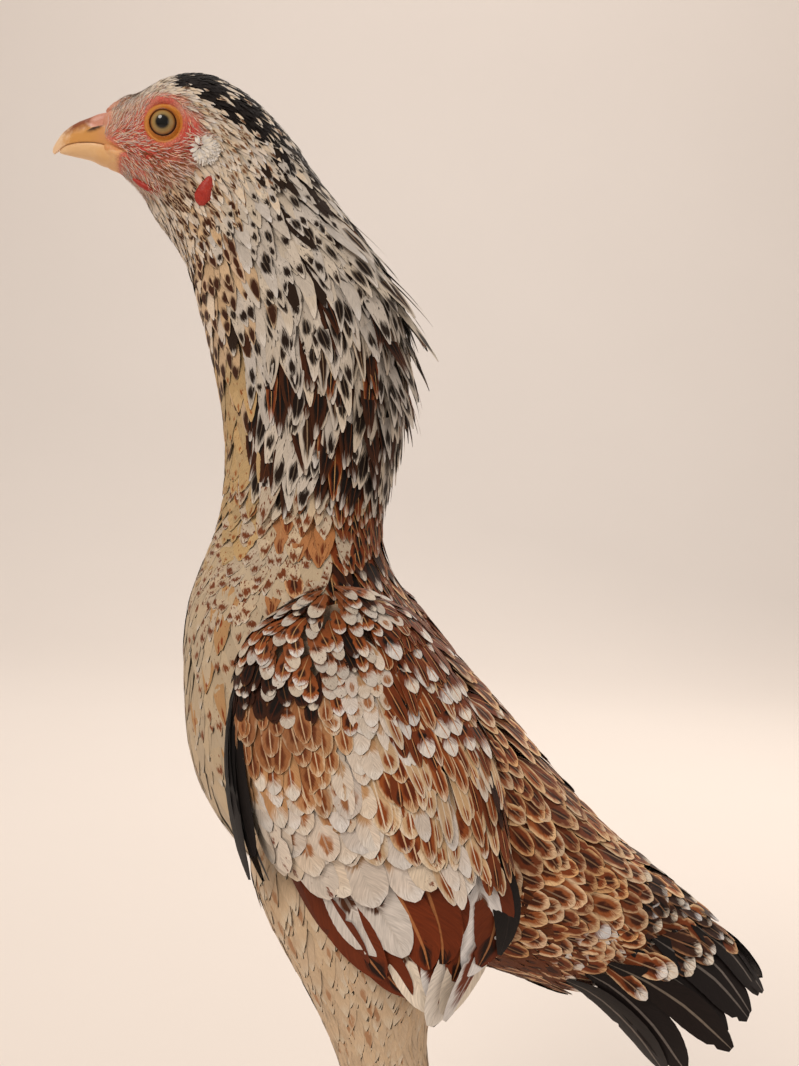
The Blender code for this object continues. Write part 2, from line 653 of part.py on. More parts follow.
def make_shank_and_foot(home):
    ends = (GAP / 2, GAP / 2)
    form = Loft(SHANK)
    shank = tube("shank_left", form, home, trim=ends, **SHANK_FACETS)
    scutes = plates(home, form, SHANK_PLATE, SHANK_PLATES, SHANK_PLATE_STEP)
    pair(shaped(shank, scutes), "leg_scale", home)

    foot = tube("foot_left", Loft(PAD), home, trim=(GAP / 2, 0), **PAD_FACETS)
    roots = []
    for name, toe in TOES.items():
        leaves = toe.leaves / toe.length
        roots.append(tube(name, ToeLoft(toe, 0, leaves), home, **TOE_ROOT_FACETS))
        free = ToeLoft(toe, leaves + GAP / (toe.length * MM), 1)
        pair(tube(f"toe_{name}_left", free, home, **TOE_FACETS), "leg_scale", home)
        pair(tube(f"claw_{name}_left", ClawLoft(toe), home, **CLAW_FACETS), "claw_horn", home)
    pair(shaped(foot, roots), "leg_scale", home)


def main():
    clear_scene()
    for name in MATERIALS:
        plain_material(name)
    home = new_collection("aseel_hen")
    cutters = new_collection("cutters", hidden=True)
    draw = random.Random(SEED)
    body = Loft(BODY)
    make_head(body, home, cutters)
    make_face_pieces(body, home, cutters)
    torso_clear = make_body(body, home, cutters, draw)
    make_wings_and_thighs(home, cutters, torso_clear, draw)
    make_shank_and_foot(home)


main()
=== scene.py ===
# Looks of the aseel hen: skin, plumage, face, beak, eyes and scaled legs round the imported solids.
# Metres, +Z up. The beak points to -X and the hen's left side to -Y.

import math

import bmesh
import bpy
import numpy as np
from mathutils import Matrix, Vector
from mathutils.kdtree import KDTree


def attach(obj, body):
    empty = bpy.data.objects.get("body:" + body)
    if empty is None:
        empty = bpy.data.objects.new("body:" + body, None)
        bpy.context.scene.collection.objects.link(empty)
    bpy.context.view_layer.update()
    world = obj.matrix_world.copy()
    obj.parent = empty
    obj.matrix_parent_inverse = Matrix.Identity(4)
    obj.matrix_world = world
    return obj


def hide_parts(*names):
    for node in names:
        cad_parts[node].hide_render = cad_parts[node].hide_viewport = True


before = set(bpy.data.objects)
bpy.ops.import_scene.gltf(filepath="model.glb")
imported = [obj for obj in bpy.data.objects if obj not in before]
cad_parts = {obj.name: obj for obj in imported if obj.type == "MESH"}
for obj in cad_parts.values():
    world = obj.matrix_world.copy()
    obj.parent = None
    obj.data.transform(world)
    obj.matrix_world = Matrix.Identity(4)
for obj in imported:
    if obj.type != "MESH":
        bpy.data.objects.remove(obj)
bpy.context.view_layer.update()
mm = 0.001
tau = math.tau
home = bpy.context.scene.collection


# Forms: rows of front x, z, rear x, z, half width, egg, front y, rear y, in millimetres,
# the same sections that the solids are made from.

bodyRows = (
    (-130, 496.5, -131, 517, 7.5),
    (-122, 493.5, -120, 523, 12.5),
    (-115.5, 488, -107, 531.5, 16.5, 0.05),
    (-112, 483, -92, 534, 18.8, 0.1),
    (-108.5, 477.5, -76, 527.5, 20.0, 0.05),
    (-101.5, 469, -61, 515, 20.5),
    (-95.5, 460, -49, 500, 22.0),
    (-90, 444, -32, 480, 25.5),
    (-84, 424, -15, 455, 29.0),
    (-78.5, 402, -9, 418, 31.5),
    (-76.5, 378, -12, 382, 32.0),
    (-79, 357, -11, 352, 36.0, 0.1),
    (-88, 328, 3, 329, 48.0, 0.15),
    (-88.5, 300, 22, 310, 57.0, 0.12),
    (-84.5, 268, 42, 290, 59.0, 0.08),
    (-70, 240, 60, 270, 57.0, 0.05),
    (-40, 213, 78, 252, 50.0),
    (2, 196, 92, 240, 42.0),
    (38, 187, 106, 230, 32.0),
    (57, 181, 118, 221, 24.0),
)
tailRows = (
    (57, 181, 118, 221, 24.0),
    (76, 176, 129, 211, 25.0, -0.1),
    (94, 164, 140, 202, 25.0, -0.25),
    (107, 151, 147, 192, 23.0, -0.35),
    (117, 141, 152, 182, 19.0, -0.4),
)
wingRows = (
    (-42, 337, -18, 341, 8.0, 0, -44, -38),
    (-59, 322, 0, 331, 20.0, 0, -50, -30),
    (-63.5, 298, 20, 306, 26.0, 0, -53, -31),
    (-59, 272, 35, 279.5, 26.0, 0, -56, -38),
    (-47.5, 247, 41.5, 252, 21.0, 0, -58, -46),
    (-32.5, 227, 46, 232, 15.0, 0, -60, -52),
    (-14.5, 209, 42, 217, 10.0, 0, -62, -58),
    (5, 193, 28, 200, 5.0, 0, -65, -64),
)
thighRows = (
    (-50, 262, 26, 272, 18.0, 0, -27, -27),
    (-55, 236, 27, 248, 22.0, 0, -35, -35),
    (-46, 212, 26, 220, 23.5, 0, -38, -38),
    (-33, 190, 20, 195, 21.5, 0, -38, -38),
    (-21, 168, 16.5, 170, 17.5, 0, -37.5, -37.5),
    (-13, 148, 19, 149, 14.0, 0, -37, -37),
    (-4, 128, 19, 127.5, 9.5, 0, -37, -37),
)


def formOf(rows, y=0.0, flat=(-1, 1)):
    table = np.array([row + (0,) * (8 - len(row)) for row in rows], float)
    table[:, 6:] += y
    return {
        "front": table[:, [0, 6, 1]] * mm,
        "rear": table[:, [2, 7, 3]] * mm,
        "half": table[:, [4]] * mm,
        "egg": table[:, [5]],
        "last": len(rows) - 1,
        "across": np.array((0, -1, 0)),
        "flat": flat,  # the part of the round section that is kept, from -1 to 1
    }


def eased(values, t):
    low = np.clip(np.floor(t).astype(int), 0, len(values) - 2)
    s = (t - low)[:, None]
    a, b, c, d = (values[np.clip(low + k, 0, len(values) - 1)] for k in (-1, 0, 1, 2))
    bend, twist = 2 * a - 5 * b + 4 * c - d, 3 * b - a - 3 * c + d
    return 0.5 * (2 * b + (c - a) * s + bend * s**2 + twist * s**3)


def surface(form, t, turn):
    # t runs down the rows; turn goes round: 0 rear or top, 0.25 left, 0.5 front or underside
    front, rear = eased(form["front"], t), eased(form["rear"], t)
    deep, side = np.cos(turn * tau)[:, None], np.sin(turn * tau)[:, None]
    wide = eased(form["half"], t) * side * (1 + eased(form["egg"], t) * deep)
    low, high = form["flat"]
    return front + (rear - front) * (np.clip(deep, low, high) - low) / (high - low) + form["across"] * wide


def unit(vectors):
    return vectors / np.maximum(np.linalg.norm(vectors, axis=-1, keepdims=True), 1e-12)


def slopes(form, t, turn):
    before, after = np.maximum(t - 0.02, 0), np.minimum(t + 0.02, form["last"])
    along = (surface(form, after, turn) - surface(form, before, turn)) / (after - before)[:, None]
    around = (surface(form, t, turn + 0.004) - surface(form, t, turn - 0.004)) / 0.008
    return along, around, unit(np.cross(around, along))


bodyForm, tailForm, wingForm, thighForm = map(formOf, (bodyRows, tailRows, wingRows, thighRows))

# How far the skin lies under the plumage, down the body's rows, in millimetres.
coatDepth = {"row": (0, 1, 2.5, 4, 5.5, 7, 10, 11, 13, 16, 19), "deep": (0, 0, 0, 0.8, 2.2, 5, 6, 6, 7, 7, 6)}


def bodyDepth(t):
    return np.interp(t, coatDepth["row"], coatDepth["deep"]) * mm


lattice = np.random.default_rng(5).uniform(-1, 1, (32, 32, 32))


def softNoise(points, size, shift=0.0):
    # smooth values from -1 to 1 that change over about one size
    place = points / size + 100 + shift
    low = np.floor(place).astype(int)
    part = place - low
    part = part * part * (3 - 2 * part)
    total = 0
    for dx in (0, 1):
        for dy in (0, 1):
            for dz in (0, 1):
                share = 1
                for axis, step in enumerate((dx, dy, dz)):
                    share = share * (part[:, axis] if step else 1 - part[:, axis])
                total = total + share * lattice[tuple(((low + (dx, dy, dz)) % 32).T)]
    return total


def near(x, z, middle, reach):
    # 1 at a middle in the side view, falling to nothing past its reach
    return np.exp(-(((x - middle[0]) / reach[0]) ** 2) - ((z - middle[1]) / reach[1]) ** 2)


def ramp(value, start, end):
    return np.clip((value - start) / (end - start), 0, 1)


# Small helpers for shader trees and meshes.

def paint(red, green, blue, alpha=1.0):
    # a screen colour, 0 to 255, as the linear one that shaders take
    return (*((c / 255) ** 2.2 for c in (red, green, blue)), alpha)


def add(tree, kind, *values, **settings):
    node = tree.nodes.new("ShaderNode" + kind)
    for key, value in settings.items():
        setattr(node, key, value)
    for socket, value in zip(node.inputs, values):
        if isinstance(value, bpy.types.NodeSocket):
            tree.links.new(value, socket)
        elif value is not None:
            socket.default_value = value
    return node


def maths(tree, operation, *values, clamp=False):
    return add(tree, "Math", *values, operation=operation, use_clamp=clamp).outputs[0]


def mixed(tree, factor, under, over, mode="MIX"):
    node = tree.nodes.new("ShaderNodeMix")
    node.data_type, node.blend_type = "RGBA", mode
    for index, value in ((0, factor), (6, under), (7, over)):
        if isinstance(value, bpy.types.NodeSocket):
            tree.links.new(value, node.inputs[index])
        else:
            node.inputs[index].default_value = value
    return node.outputs[2]


def noiseOf(tree, vector, scale, detail=2.0, roughness=0.5):
    return add(tree, "TexNoise", vector, None, scale, detail, roughness).outputs[0]


def above(tree, value, start, gain):
    # 0 up to a start, then rising to 1
    return maths(tree, "MULTIPLY", maths(tree, "SUBTRACT", value, start), gain, clamp=True)


def spread(tree, *parts):
    return add(tree, "CombineXYZ", *parts).outputs[0]


def placeOf(tree):
    return add(tree, "TexCoord").outputs["Object"]


def dress(tree, shader, color, height=None, strength=0.0, distance=0.0):
    tree.links.new(color, shader.inputs["Base Color"])
    if height is not None:
        bump = add(tree, "Bump", strength, distance)
        tree.links.new(height, bump.inputs["Height"])
        tree.links.new(bump.outputs[0], shader.inputs["Normal"])


def groupOf(name, inputs, outputs):
    tree = bpy.data.node_groups.new(name, "ShaderNodeTree")
    for in_out, sockets in (("INPUT", inputs), ("OUTPUT", outputs)):
        for socketName, kind in sockets:
            tree.interface.new_socket(socketName, in_out=in_out, socket_type="NodeSocket" + kind)
    source, target = tree.nodes.new("NodeGroupInput"), tree.nodes.new("NodeGroupOutput")
    return tree, source.outputs, target.inputs


def principled(name, **constants):
    material = bpy.data.materials.new(name)
    material.use_nodes = True
    tree = material.node_tree
    shader = tree.nodes["Principled BSDF"]
    for socket, value in constants.items():
        shader.inputs[socket.replace("_", " ")].default_value = value
    return material, tree, shader


def attribute(tree, name, output="Vector"):
    return add(tree, "Attribute", attribute_name=name).outputs[output]


def pieceOf(name, mesh, material, slot, *nodes):
    piece = bpy.data.objects.new(name, mesh)
    home.objects.link(piece)
    mesh.materials.clear()
    mesh.materials.append(material)
    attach(piece, "root")
    if nodes:
        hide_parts(*nodes)
    return piece


# Plumage colours.

snow, chalk, cream, straw = (201, 190, 177), (222, 214, 205), (204, 184, 156), (196, 168, 126)
buff, tan, rust, chestnut = (206, 158, 106), (178, 116, 66), (144, 70, 34), (98, 43, 20)
umber, ink, slate = (58, 30, 17), (24, 17, 14), (128, 118, 110)
never = 9  # a place past the tip
noMark, noTip = (never, 1, 1), (never, 0, never)

# A recipe is ground, mark, tip and edge colour; where the mark lies on the vane, how long and
# how wide; where the tip colour starts, its bow, and where the edge colour starts; and how
# plain its shaft and its flecks are.
recipes = {
    "crownInk": ((30, 23, 21), ink, ink, ink, noMark, noTip, (0, 0)),
    "crownSnow": ((220, 203, 184), (150, 110, 80), chalk, cream, noMark, (0.8, 0, never), (0, 0.05)),
    "crownFleck": ((210, 190, 166), (122, 86, 62), chalk, cream, (0.8, 0.2, 0.9), noTip, (0, 0.1)),
    "faceHair": ((238, 192, 168), cream, chalk, (246, 218, 200), noMark, (0.5, 0, never), (0, 0)),
    "brownHair": ((134, 83, 50), umber, umber, tan, noMark, noTip, (0, 0)),
    "cheekDark": ((206, 176, 146), (70, 38, 21), umber, straw, (0.8, 0.3, 0.9), noTip, (0, 0.1)),
    "earTuft": ((232, 224, 214), slate, chalk, chalk, noMark, noTip, (0, 0)),
    "napeSnow": (snow, (90, 65, 44), chalk, snow, noMark, (0.85, 0, never), (0, 0.12)),
    "napeSpot": (snow, (38, 26, 18), chalk, snow, (0.82, 0.11, 0.9), (0.95, 0, never), (0, 0.3)),
    "napeInk": ((44, 31, 22), ink, chalk, snow, noMark, (0.92, 0, never), (0, 0)),
    "hackleDrop": (
        snow, (32, 22, 16), chalk, (196, 172, 146), (0.74, 0.17, 0.9), (0.92, 0, 0.95), (0.2, 0.25)),
    "hackleDark": ((64, 36, 21), ink, chalk, (120, 68, 37), (0.6, 0.3, 0.8), (0.86, -0.1, 0.95), (0.5, 0)),
    "hackleLong": (
        snow, (48, 30, 19), chalk, (196, 166, 134), (0.66, 0.3, 0.72), (0.93, 0, 0.88), (0.5, 0.1)),
    "hackleRust": ((120, 59, 30), ink, chalk, buff, (0.72, 0.16, 0.6), (0.88, -0.1, 0.82), (0.8, 0.05)),
    "throatStreak": ((206, 176, 142), (64, 36, 21), umber, straw, (0.84, 0.2, 1.1), noTip, (0, 0.15)),
    "neckStraw": ((192, 163, 120), (150, 88, 44), cream, cream, (0.9, 0.05, 0.5), noTip, (0, 0.3)),
    "neckFleck": (
        (200, 181, 156), (116, 64, 38), chalk, cream, (0.86, 0.07, 0.9), (0.95, 0, never), (0, 0.4)),
    "neckRust": ((178, 122, 80), (108, 54, 30), cream, buff, (0.84, 0.16, 0.7), noTip, (0.4, 0.3)),
    "breastCream": ((196, 176, 148), (128, 72, 42), chalk, cream, (0.88, 0.06, 0.9), noTip, (0, 0.25)),
    "breastPlain": ((198, 178, 151), rust, chalk, cream, noMark, (0.9, 0, never), (0, 0.05)),
    "breastRust": ((188, 146, 102), rust, cream, cream, (0.86, 0.1, 0.35), (never, 0, 0.95), (0, 0.2)),
    "shoulderDark": (umber, ink, chalk, tan, (0.5, 0.3, 0.8), (0.8, -0.1, never), (0.2, 0.1)),
    "shoulderSnow": (
        (142, 82, 48), (78, 42, 24), snow, snow, (0.5, 0.1, 0.8), (0.64, 0.1, never), (0.3, 0.25)),
    "shoulderRust": ((146, 79, 41), umber, chalk, buff, (0.6, 0.16, 0.6), (0.8, 0.1, never), (0.7, 0.2)),
    "bandDark": ((58, 32, 20), ink, buff, chestnut, (0.6, 0.3, 0.7), (0.97, 0, never), (0.4, 0.1)),
    "tanShaft": (
        (154, 102, 66), (104, 55, 31), cream, (196, 162, 128), (0.74, 0.2, 0.5), (0.95, 0, 0.8), (1.4, 0.2)),
    "coverSnow": (
        (210, 194, 178), (158, 106, 70), chalk, snow, (0.72, 0.16, 0.6), (0.9, 0, never), (0.4, 0.15)),
    "coverPlain": (
        (214, 200, 186), (186, 146, 108), chalk, snow, (0.42, 0.2, 0.9), (0.8, 0, never), (0.3, 0.05)),
    "coverSpeck": ((220, 206, 190), (120, 59, 30), chalk, snow, (0.9, 0.05, 0.3), noTip, (0.3, 0.2)),
    "coverTip": (
        (192, 146, 104), (140, 76, 40), chalk, snow, (0.62, 0.16, 0.5), (0.74, -0.1, never), (0.8, 0.1)),
    "coverTan": (
        (174, 126, 88), (124, 66, 34), chalk, (208, 182, 152), (0.72, 0.22, 0.45), (0.92, -0.1, 0.72), (1, 0.15)),
    "dropTip": ((108, 52, 27), ink, chalk, (184, 124, 80), (0.56, 0.14, 0.7), (0.7, -0.05, never), (0.9, 0)),
    "scapular": (
        (112, 54, 27), (52, 29, 18), buff, (196, 142, 96), (0.8, 0.16, 0.45), (never, 0, 0.9), (1.3, 0.1)),
    "scapularTan": (
        (202, 168, 130), (138, 70, 34), chalk, (224, 206, 182), (0.82, 0.16, 0.55), (0.97, 0, 0.7), (1.2, 0.15)),
    "scapularRust": (
        (146, 77, 38), chestnut, chalk, (212, 178, 140), (0.8, 0.2, 0.5), (0.93, 0, 0.66), (1.2, 0.1)),
    "flightInk": ((30, 24, 23), ink, slate, (60, 52, 48), noMark, noTip, (0.2, 0)),
    "flightRust": ((108, 49, 25), (40, 23, 16), buff, (178, 118, 76), (0.96, 0.12, 0.6), noTip, (0.8, 0)),
    "flightSnow": ((224, 214, 204), (92, 54, 34), chalk, snow, (0.5, 0.1, 0.4), (0.8, 0, never), (0.4, 0.05)),
    "flightBar": ((112, 52, 28), chestnut, chalk, chalk, (0.5, 0.2, 0.9), (0.8, 0.3, 0.7), (0.5, 0.1)),
    "laced": (
        (118, 60, 33), (58, 29, 17), buff, (216, 172, 128), (0.7, 0.2, 0.4), (never, 0, 0.68), (0.3, 0.1)),
    "lacedPale": (
        (150, 86, 50), (70, 34, 19), cream, (222, 188, 150), (0.7, 0.2, 0.5), (never, 0, 0.6), (0.3, 0.1)),
    "tailCover": ((60, 38, 30), ink, chalk, (160, 118, 88), (0.7, 0.2, 0.4), (0.8, -0.1, 0.8), (0.6, 0.1)),
    "lacedTip": (
        (120, 62, 34), (56, 29, 18), chalk, (214, 176, 136), (0.62, 0.2, 0.5), (0.74, -0.1, 0.7), (0.4, 0.1)),
    "rectrix": ((32, 25, 24), ink, slate, (150, 138, 128), noMark, noTip, (0.5, 0)),
    "thighCream": ((205, 178, 148), (178, 134, 100), cream, cream, (0.85, 0.14, 0.7), noTip, (0, 0.08)),
    "thighPlain": (
        (207, 181, 151), (182, 140, 106), (214, 196, 172), cream, noMark, (0.8, 0, never), (0, 0.03)),
    "ventDark": ((98, 52, 27), umber, buff, (150, 94, 49), (0.6, 0.3, 0.5), (never, 0, 0.9), (0.1, 0.1)),
}


# The marking of one vane, with painted shade that darkens it towards the root, in a group that every feather
# material uses.

def makeVanePattern():
    tree, given, put = groupOf(
        "vanePattern",
        [("Vane", "Vector"), ("Ground", "Color"), ("Mark", "Color"), ("Tip", "Color"), ("Edge", "Color"),
         ("Mark Shape", "Vector"), ("Tip Shape", "Vector"), ("Finish", "Vector")],
        [("Color", "Color"), ("Height", "Float")],
    )
    u, v, lot = add(tree, "SeparateXYZ", given["Vane"]).outputs
    markAt, markLong, markWide = add(tree, "SeparateXYZ", given["Mark Shape"]).outputs
    tipAt, tipBow, edgeAt = add(tree, "SeparateXYZ", given["Tip Shape"]).outputs
    shaft, fleck, grain = add(tree, "SeparateXYZ", given["Finish"]).outputs

    def times(a, b, clamp=False):
        return maths(tree, "MULTIPLY", a, b, clamp=clamp)

    def plus(a, b, c):
        return maths(tree, "MULTIPLY_ADD", a, b, c)

    def noiseOver(x, wide, y, long, seed, scale, detail, roughness=0.5):
        # noise that is stretched over the vane and differs from one vane to the next
        place = spread(tree, times(x, wide), times(y, long), times(lot, seed))
        return noiseOf(tree, place, scale, detail, roughness)

    across = maths(tree, "ABSOLUTE", u)
    barb = plus(across, -0.22, v)  # a barb is a line where this is level
    streak = noiseOver(barb, 42.0, u, 1.8, 37.0, 1.0, 2.0, 0.6)
    wobble = maths(tree, "SUBTRACT", noiseOver(u, 1.6, v, 4.0, 91.0, 1.4, 1.0), 0.5)
    ragged = maths(tree, "SUBTRACT", streak, 0.5)
    v2 = maths(tree, "ADD", plus(ragged, 0.22, v), times(wobble, 0.16))
    u2 = plus(wobble, 0.5, u)
    u2Square = times(u2, u2)

    fromMark = maths(tree, "DIVIDE", maths(tree, "SUBTRACT", v2, markAt), markLong)
    fromShaft = maths(tree, "DIVIDE", u2Square, times(markWide, markWide))
    markMask = above(tree, 1.0, maths(tree, "ADD", times(fromMark, fromMark), fromShaft), 1.6)
    tipMask = above(tree, plus(u2Square, tipBow, v2), tipAt, 7.0)
    toTip = maths(tree, "DIVIDE", maths(tree, "SUBTRACT", v2, 0.62), 0.38)
    edgeMask = above(tree, maths(tree, "MAXIMUM", maths(tree, "ABSOLUTE", u2), toTip), edgeAt, 3.5)
    shaftLine = above(tree, 0.085, across, 30.0)
    fleckMask = above(tree, noiseOver(u, 2.4, v, 7.0, 53.0, 1.6, 2.0), plus(fleck, -0.5, 0.78), 14.0)

    color = given["Ground"]
    for mask, over in (
        (edgeMask, "Edge"), (markMask, "Mark"), (tipMask, "Tip"), (fleckMask, "Mark"),
        (times(shaftLine, shaft), "Edge"),
    ):
        color = mixed(tree, mask, color, given[over])
    # painted shade: each vane is darker towards its root, where the vanes over it would shade it; the streaks along
    # its barbs are its own pattern
    shade = times(plus(ragged, grain, 1.0), plus(times(v, 1.7, clamp=True), 0.3, 0.7))
    tree.links.new(mixed(tree, 1.0, color, spread(tree, shade, shade, shade), "MULTIPLY"), put["Color"])
    tree.links.new(plus(shaftLine, 0.8, streak), put["Height"])
    return tree


vanePattern = makeVanePattern()


def featherMaterial(name, roughness, sheen, relief):
    material, tree, shader = principled(
        name, Roughness=roughness, Sheen_Weight=sheen, Sheen_Roughness=0.5, Specular_IOR_Level=0.15
    )
    group = tree.nodes.new("ShaderNodeGroup")
    group.node_tree = vanePattern
    for socket, layer in (
        ("Vane", "vane"), ("Ground", "ground"), ("Mark", "mark"), ("Tip", "tip"), ("Edge", "edge"),
        ("Mark Shape", "markShape"), ("Tip Shape", "tipShape"), ("Finish", "finish"),
    ):
        kind = "Color" if layer in ("ground", "mark", "tip", "edge") else "Vector"
        tree.links.new(attribute(tree, layer, kind), group.inputs[socket])
    dress(tree, shader, group.outputs["Color"], group.outputs["Height"], relief, 0.0002)
    return material


softFeather = featherMaterial("softFeather", 0.78, 0.08, 0.35)
wingFeather = featherMaterial("wingFeather", 0.62, 0.05, 0.3)
tailFeather = featherMaterial("tailFeather", 0.48, 0.05, 0.3)


# One vane as a closed blade: x across it from -1 to 1, y from root to tip, z its upper and
# lower face. Its rows sweep forwards like barbs, and its edge is frayed and split.

vaneDesigns = {
    "bristle": {"columns": 1, "rows": 4, "widest": 0.3, "root": 0.7, "point": 1.0, "fray": 0.0, "splits": 0},
    "small": {"columns": 2, "rows": 5, "widest": 0.5, "root": 0.5, "point": 0.7, "fray": 0.12, "splits": 0},
    "silk": {"columns": 2, "rows": 8, "widest": 0.5, "root": 0.5, "point": 0.62, "fray": 0.08, "splits": 0},
    "hackle": {"columns": 4, "rows": 11, "widest": 0.55, "root": 0.5, "point": 0.6, "fray": 0.07, "splits": 1},
    "round": {"columns": 4, "rows": 12, "widest": 0.66, "root": 0.45, "point": 0.12, "fray": 0.03, "splits": 1},
    "flight": {"columns": 6, "rows": 26, "widest": 0.6, "root": 0.5, "point": 0.25, "fray": 0.02, "splits": 1},
}


def vaneWidth(y, design):
    widest, root, point = design["widest"], design["root"], design["point"]
    if y < widest:
        return (root + (1 - root) * math.sin(y / widest * math.pi / 2)) * min(0.3 + 5 * y, 1)
    past = (y - widest) / (1 - widest)
    rounded, pointed = math.sqrt(max(1 - past**2.6, 0)), 1 - past**1.25
    return max(rounded * (1 - point) + pointed * point, 0.06 + 0.2 * (1 - point))


def vaneBlade(design, draw):
    columns, rows = design["columns"], design["rows"]
    bm = bmesh.new()
    bmesh.ops.create_grid(bm, x_segments=columns, y_segments=rows, size=0.5)
    flat = bm.verts.layers.float_vector.new("flat")
    lower = bmesh.ops.duplicate(bm, geom=bm.verts[:] + bm.edges[:] + bm.faces[:])
    lowerVerts = {g for g in lower["geom"] if isinstance(g, bmesh.types.BMVert)}
    bmesh.ops.reverse_faces(bm, faces=[g for g in lower["geom"] if isinstance(g, bmesh.types.BMFace)])
    split = {(int(draw.integers(rows // 3, rows)), draw.choice((-1, 1))) for _ in range(design["splits"])}
    notch = {(k, side): design["fray"] * draw.uniform(0.4, 1.0) for k in range(rows + 1) for side in (-1, 1)}
    for v in bm.verts:
        x, y = v.co.x * 2, v.co.y + 0.5
        v[flat] = (x, y, 0)
        row, side = round(y * rows), 1 if x > 0 else -1
        rim = abs(x) > 0.99 or row in (0, rows)
        v.co.z = 0 if rim else (-1 if v in lowerVerts else 1)
        wide = vaneWidth(y, design)
        if abs(x) > 0.99 and 0 < row < rows:
            wide *= 1 - (notch[row, side] if row % 2 else 0)
            wide *= 0.76 if (row, side) in split else 1
        swept = 0.1 * abs(x) * (1 - y) * min(4 * y, 1)
        v.co.x, v.co.y = x * wide, y + swept
    bmesh.ops.remove_doubles(bm, verts=bm.verts, dist=1e-5)
    place = np.array([(*v.co, *v[flat][:2]) for v in bm.verts])
    faces = np.array([[v.index for v in f.verts] for f in bm.faces])
    bm.free()
    return place, faces


def sized(t, table):
    # sizes at places down a form, from rows and their values or from one size for all
    return np.interp(t, *table) if isinstance(table, tuple) else table + 0 * t


def scatter(form, tSpan, turnSpan, spacing, draw, stretch=1.0, crowd=7):
    # even places with no rule: random ones, each kept if no kept one is nearer than the spacing,
    # which is stretch times as long down the form
    probeT, probeTurn = draw.uniform(*tSpan, 3000), draw.uniform(*turnSpan, 3000)
    along, around, _ = slopes(form, probeT, probeTurn)
    area = np.linalg.norm(np.cross(along, around), axis=1)
    total = area.mean() * (tSpan[1] - tSpan[0]) * (turnSpan[1] - turnSpan[0])
    wanted = int(total / ((sized(probeT, spacing) * mm) ** 2).mean() / stretch * crowd)
    t, turn = draw.uniform(*tSpan, wanted * 4), draw.uniform(*turnSpan, wanted * 4)
    along, around, _ = slopes(form, t, turn)
    size = np.linalg.norm(np.cross(along, around), axis=1)
    chosen = draw.uniform(0, np.percentile(size, 98), len(t)) < size
    t, turn, along = t[chosen][:wanted], turn[chosen][:wanted], unit(along[chosen][:wanted])
    points, apart = surface(form, t, turn), sized(t, spacing) * mm
    kept, places = [], np.empty((len(t), 3))
    for k, point in enumerate(points):
        gap = places[: len(kept)] - point
        far = (gap**2).sum(1) - (1 - stretch**-2) * (gap @ along[k]) ** 2
        if not kept or far.min() > apart[k] ** 2:
            places[len(kept)] = point
            kept.append(k)
    return t[kept], turn[kept]


def spinesOf(form, t, turn, length, heading, stiff, steps=7):
    # walk each vane over its form; a stiff one keeps straight where the form bends away
    t, turn, step = t.copy(), turn.copy(), (length / steps)[:, None]
    walked, free = surface(form, t, turn), np.zeros(len(t), bool)
    paths, ups, ways = [], [], []
    for k in range(steps + 1):
        along, around, up = slopes(form, t, turn)
        forward = unit(along)
        way = forward * np.cos(heading)[:, None] + np.cross(forward, up) * np.sin(heading)[:, None]
        if k:
            way[free], up[free] = ways[-1][free], ups[-1][free]
            line = paths[0] + ways[0] * step * k
            lift = np.maximum(((line - walked) * up).sum(1, keepdims=True), 0)
            paths.append(walked + up * lift * stiff[:, None])
        else:
            paths.append(walked)
        ups.append(up)
        ways.append(way)
        g11, g12, g22 = (along**2).sum(1), (along * around).sum(1), (around**2).sum(1)
        r1, r2 = (way * along).sum(1) * step[:, 0], (way * around).sum(1) * step[:, 0]
        whole = np.maximum(g11 * g22 - g12**2, 1e-16)
        t = np.where(free, t, t + (g22 * r1 - g12 * r2) / whole)
        turn = np.where(free, turn, turn + np.clip((g11 * r2 - g12 * r1) / whole, -0.05, 0.05))
        left = t > form["last"] - 0.01
        t = np.clip(t, 0, form["last"] - 0.01)
        walked = np.where((free | left)[:, None], walked + way * step, surface(form, t, turn))
        free |= left
    paths, ups = np.array(paths), np.array(ups)
    ways = unit(np.gradient(paths, axis=0))
    across = unit(np.cross(ways, ups))
    return paths, np.cross(across, ways), across


def meshOf(name, points, faces, layers, bakePlace):
    mesh = bpy.data.meshes.new(name)
    mesh.vertices.add(len(points))
    mesh.vertices.foreach_set("co", points.astype(np.float32).ravel())
    mesh.loops.add(faces.size)
    mesh.loops.foreach_set("vertex_index", faces.astype(np.int32).ravel())
    mesh.polygons.add(len(faces))
    mesh.polygons.foreach_set("loop_start", np.arange(0, faces.size, faces.shape[1], dtype=np.int32))
    mesh.update(calc_edges=True)
    for layer, values in layers.items():
        colour = values.shape[1] == 4
        made = mesh.attributes.new(layer, "FLOAT_COLOR" if colour else "FLOAT_VECTOR", "POINT")
        made.data.foreach_set("color" if colour else "vector", values.astype(np.float32).ravel())
    uv = mesh.uv_layers.new(name="OFBake")
    uv.uv.foreach_set("vector", bakePlace[faces.ravel()].astype(np.float32).ravel())
    mesh.shade_smooth()
    return mesh


def pickKinds(weights, count, draw):
    names = list(weights)
    table = np.array([np.broadcast_to(weights[n], count) for n in names]).T + 1e-6
    share = np.cumsum(table, 1) / table.sum(1, keepdims=True)
    chosen = (draw.uniform(size=(len(table), 1)) > share).sum(1)
    return [names[k] for k in chosen]


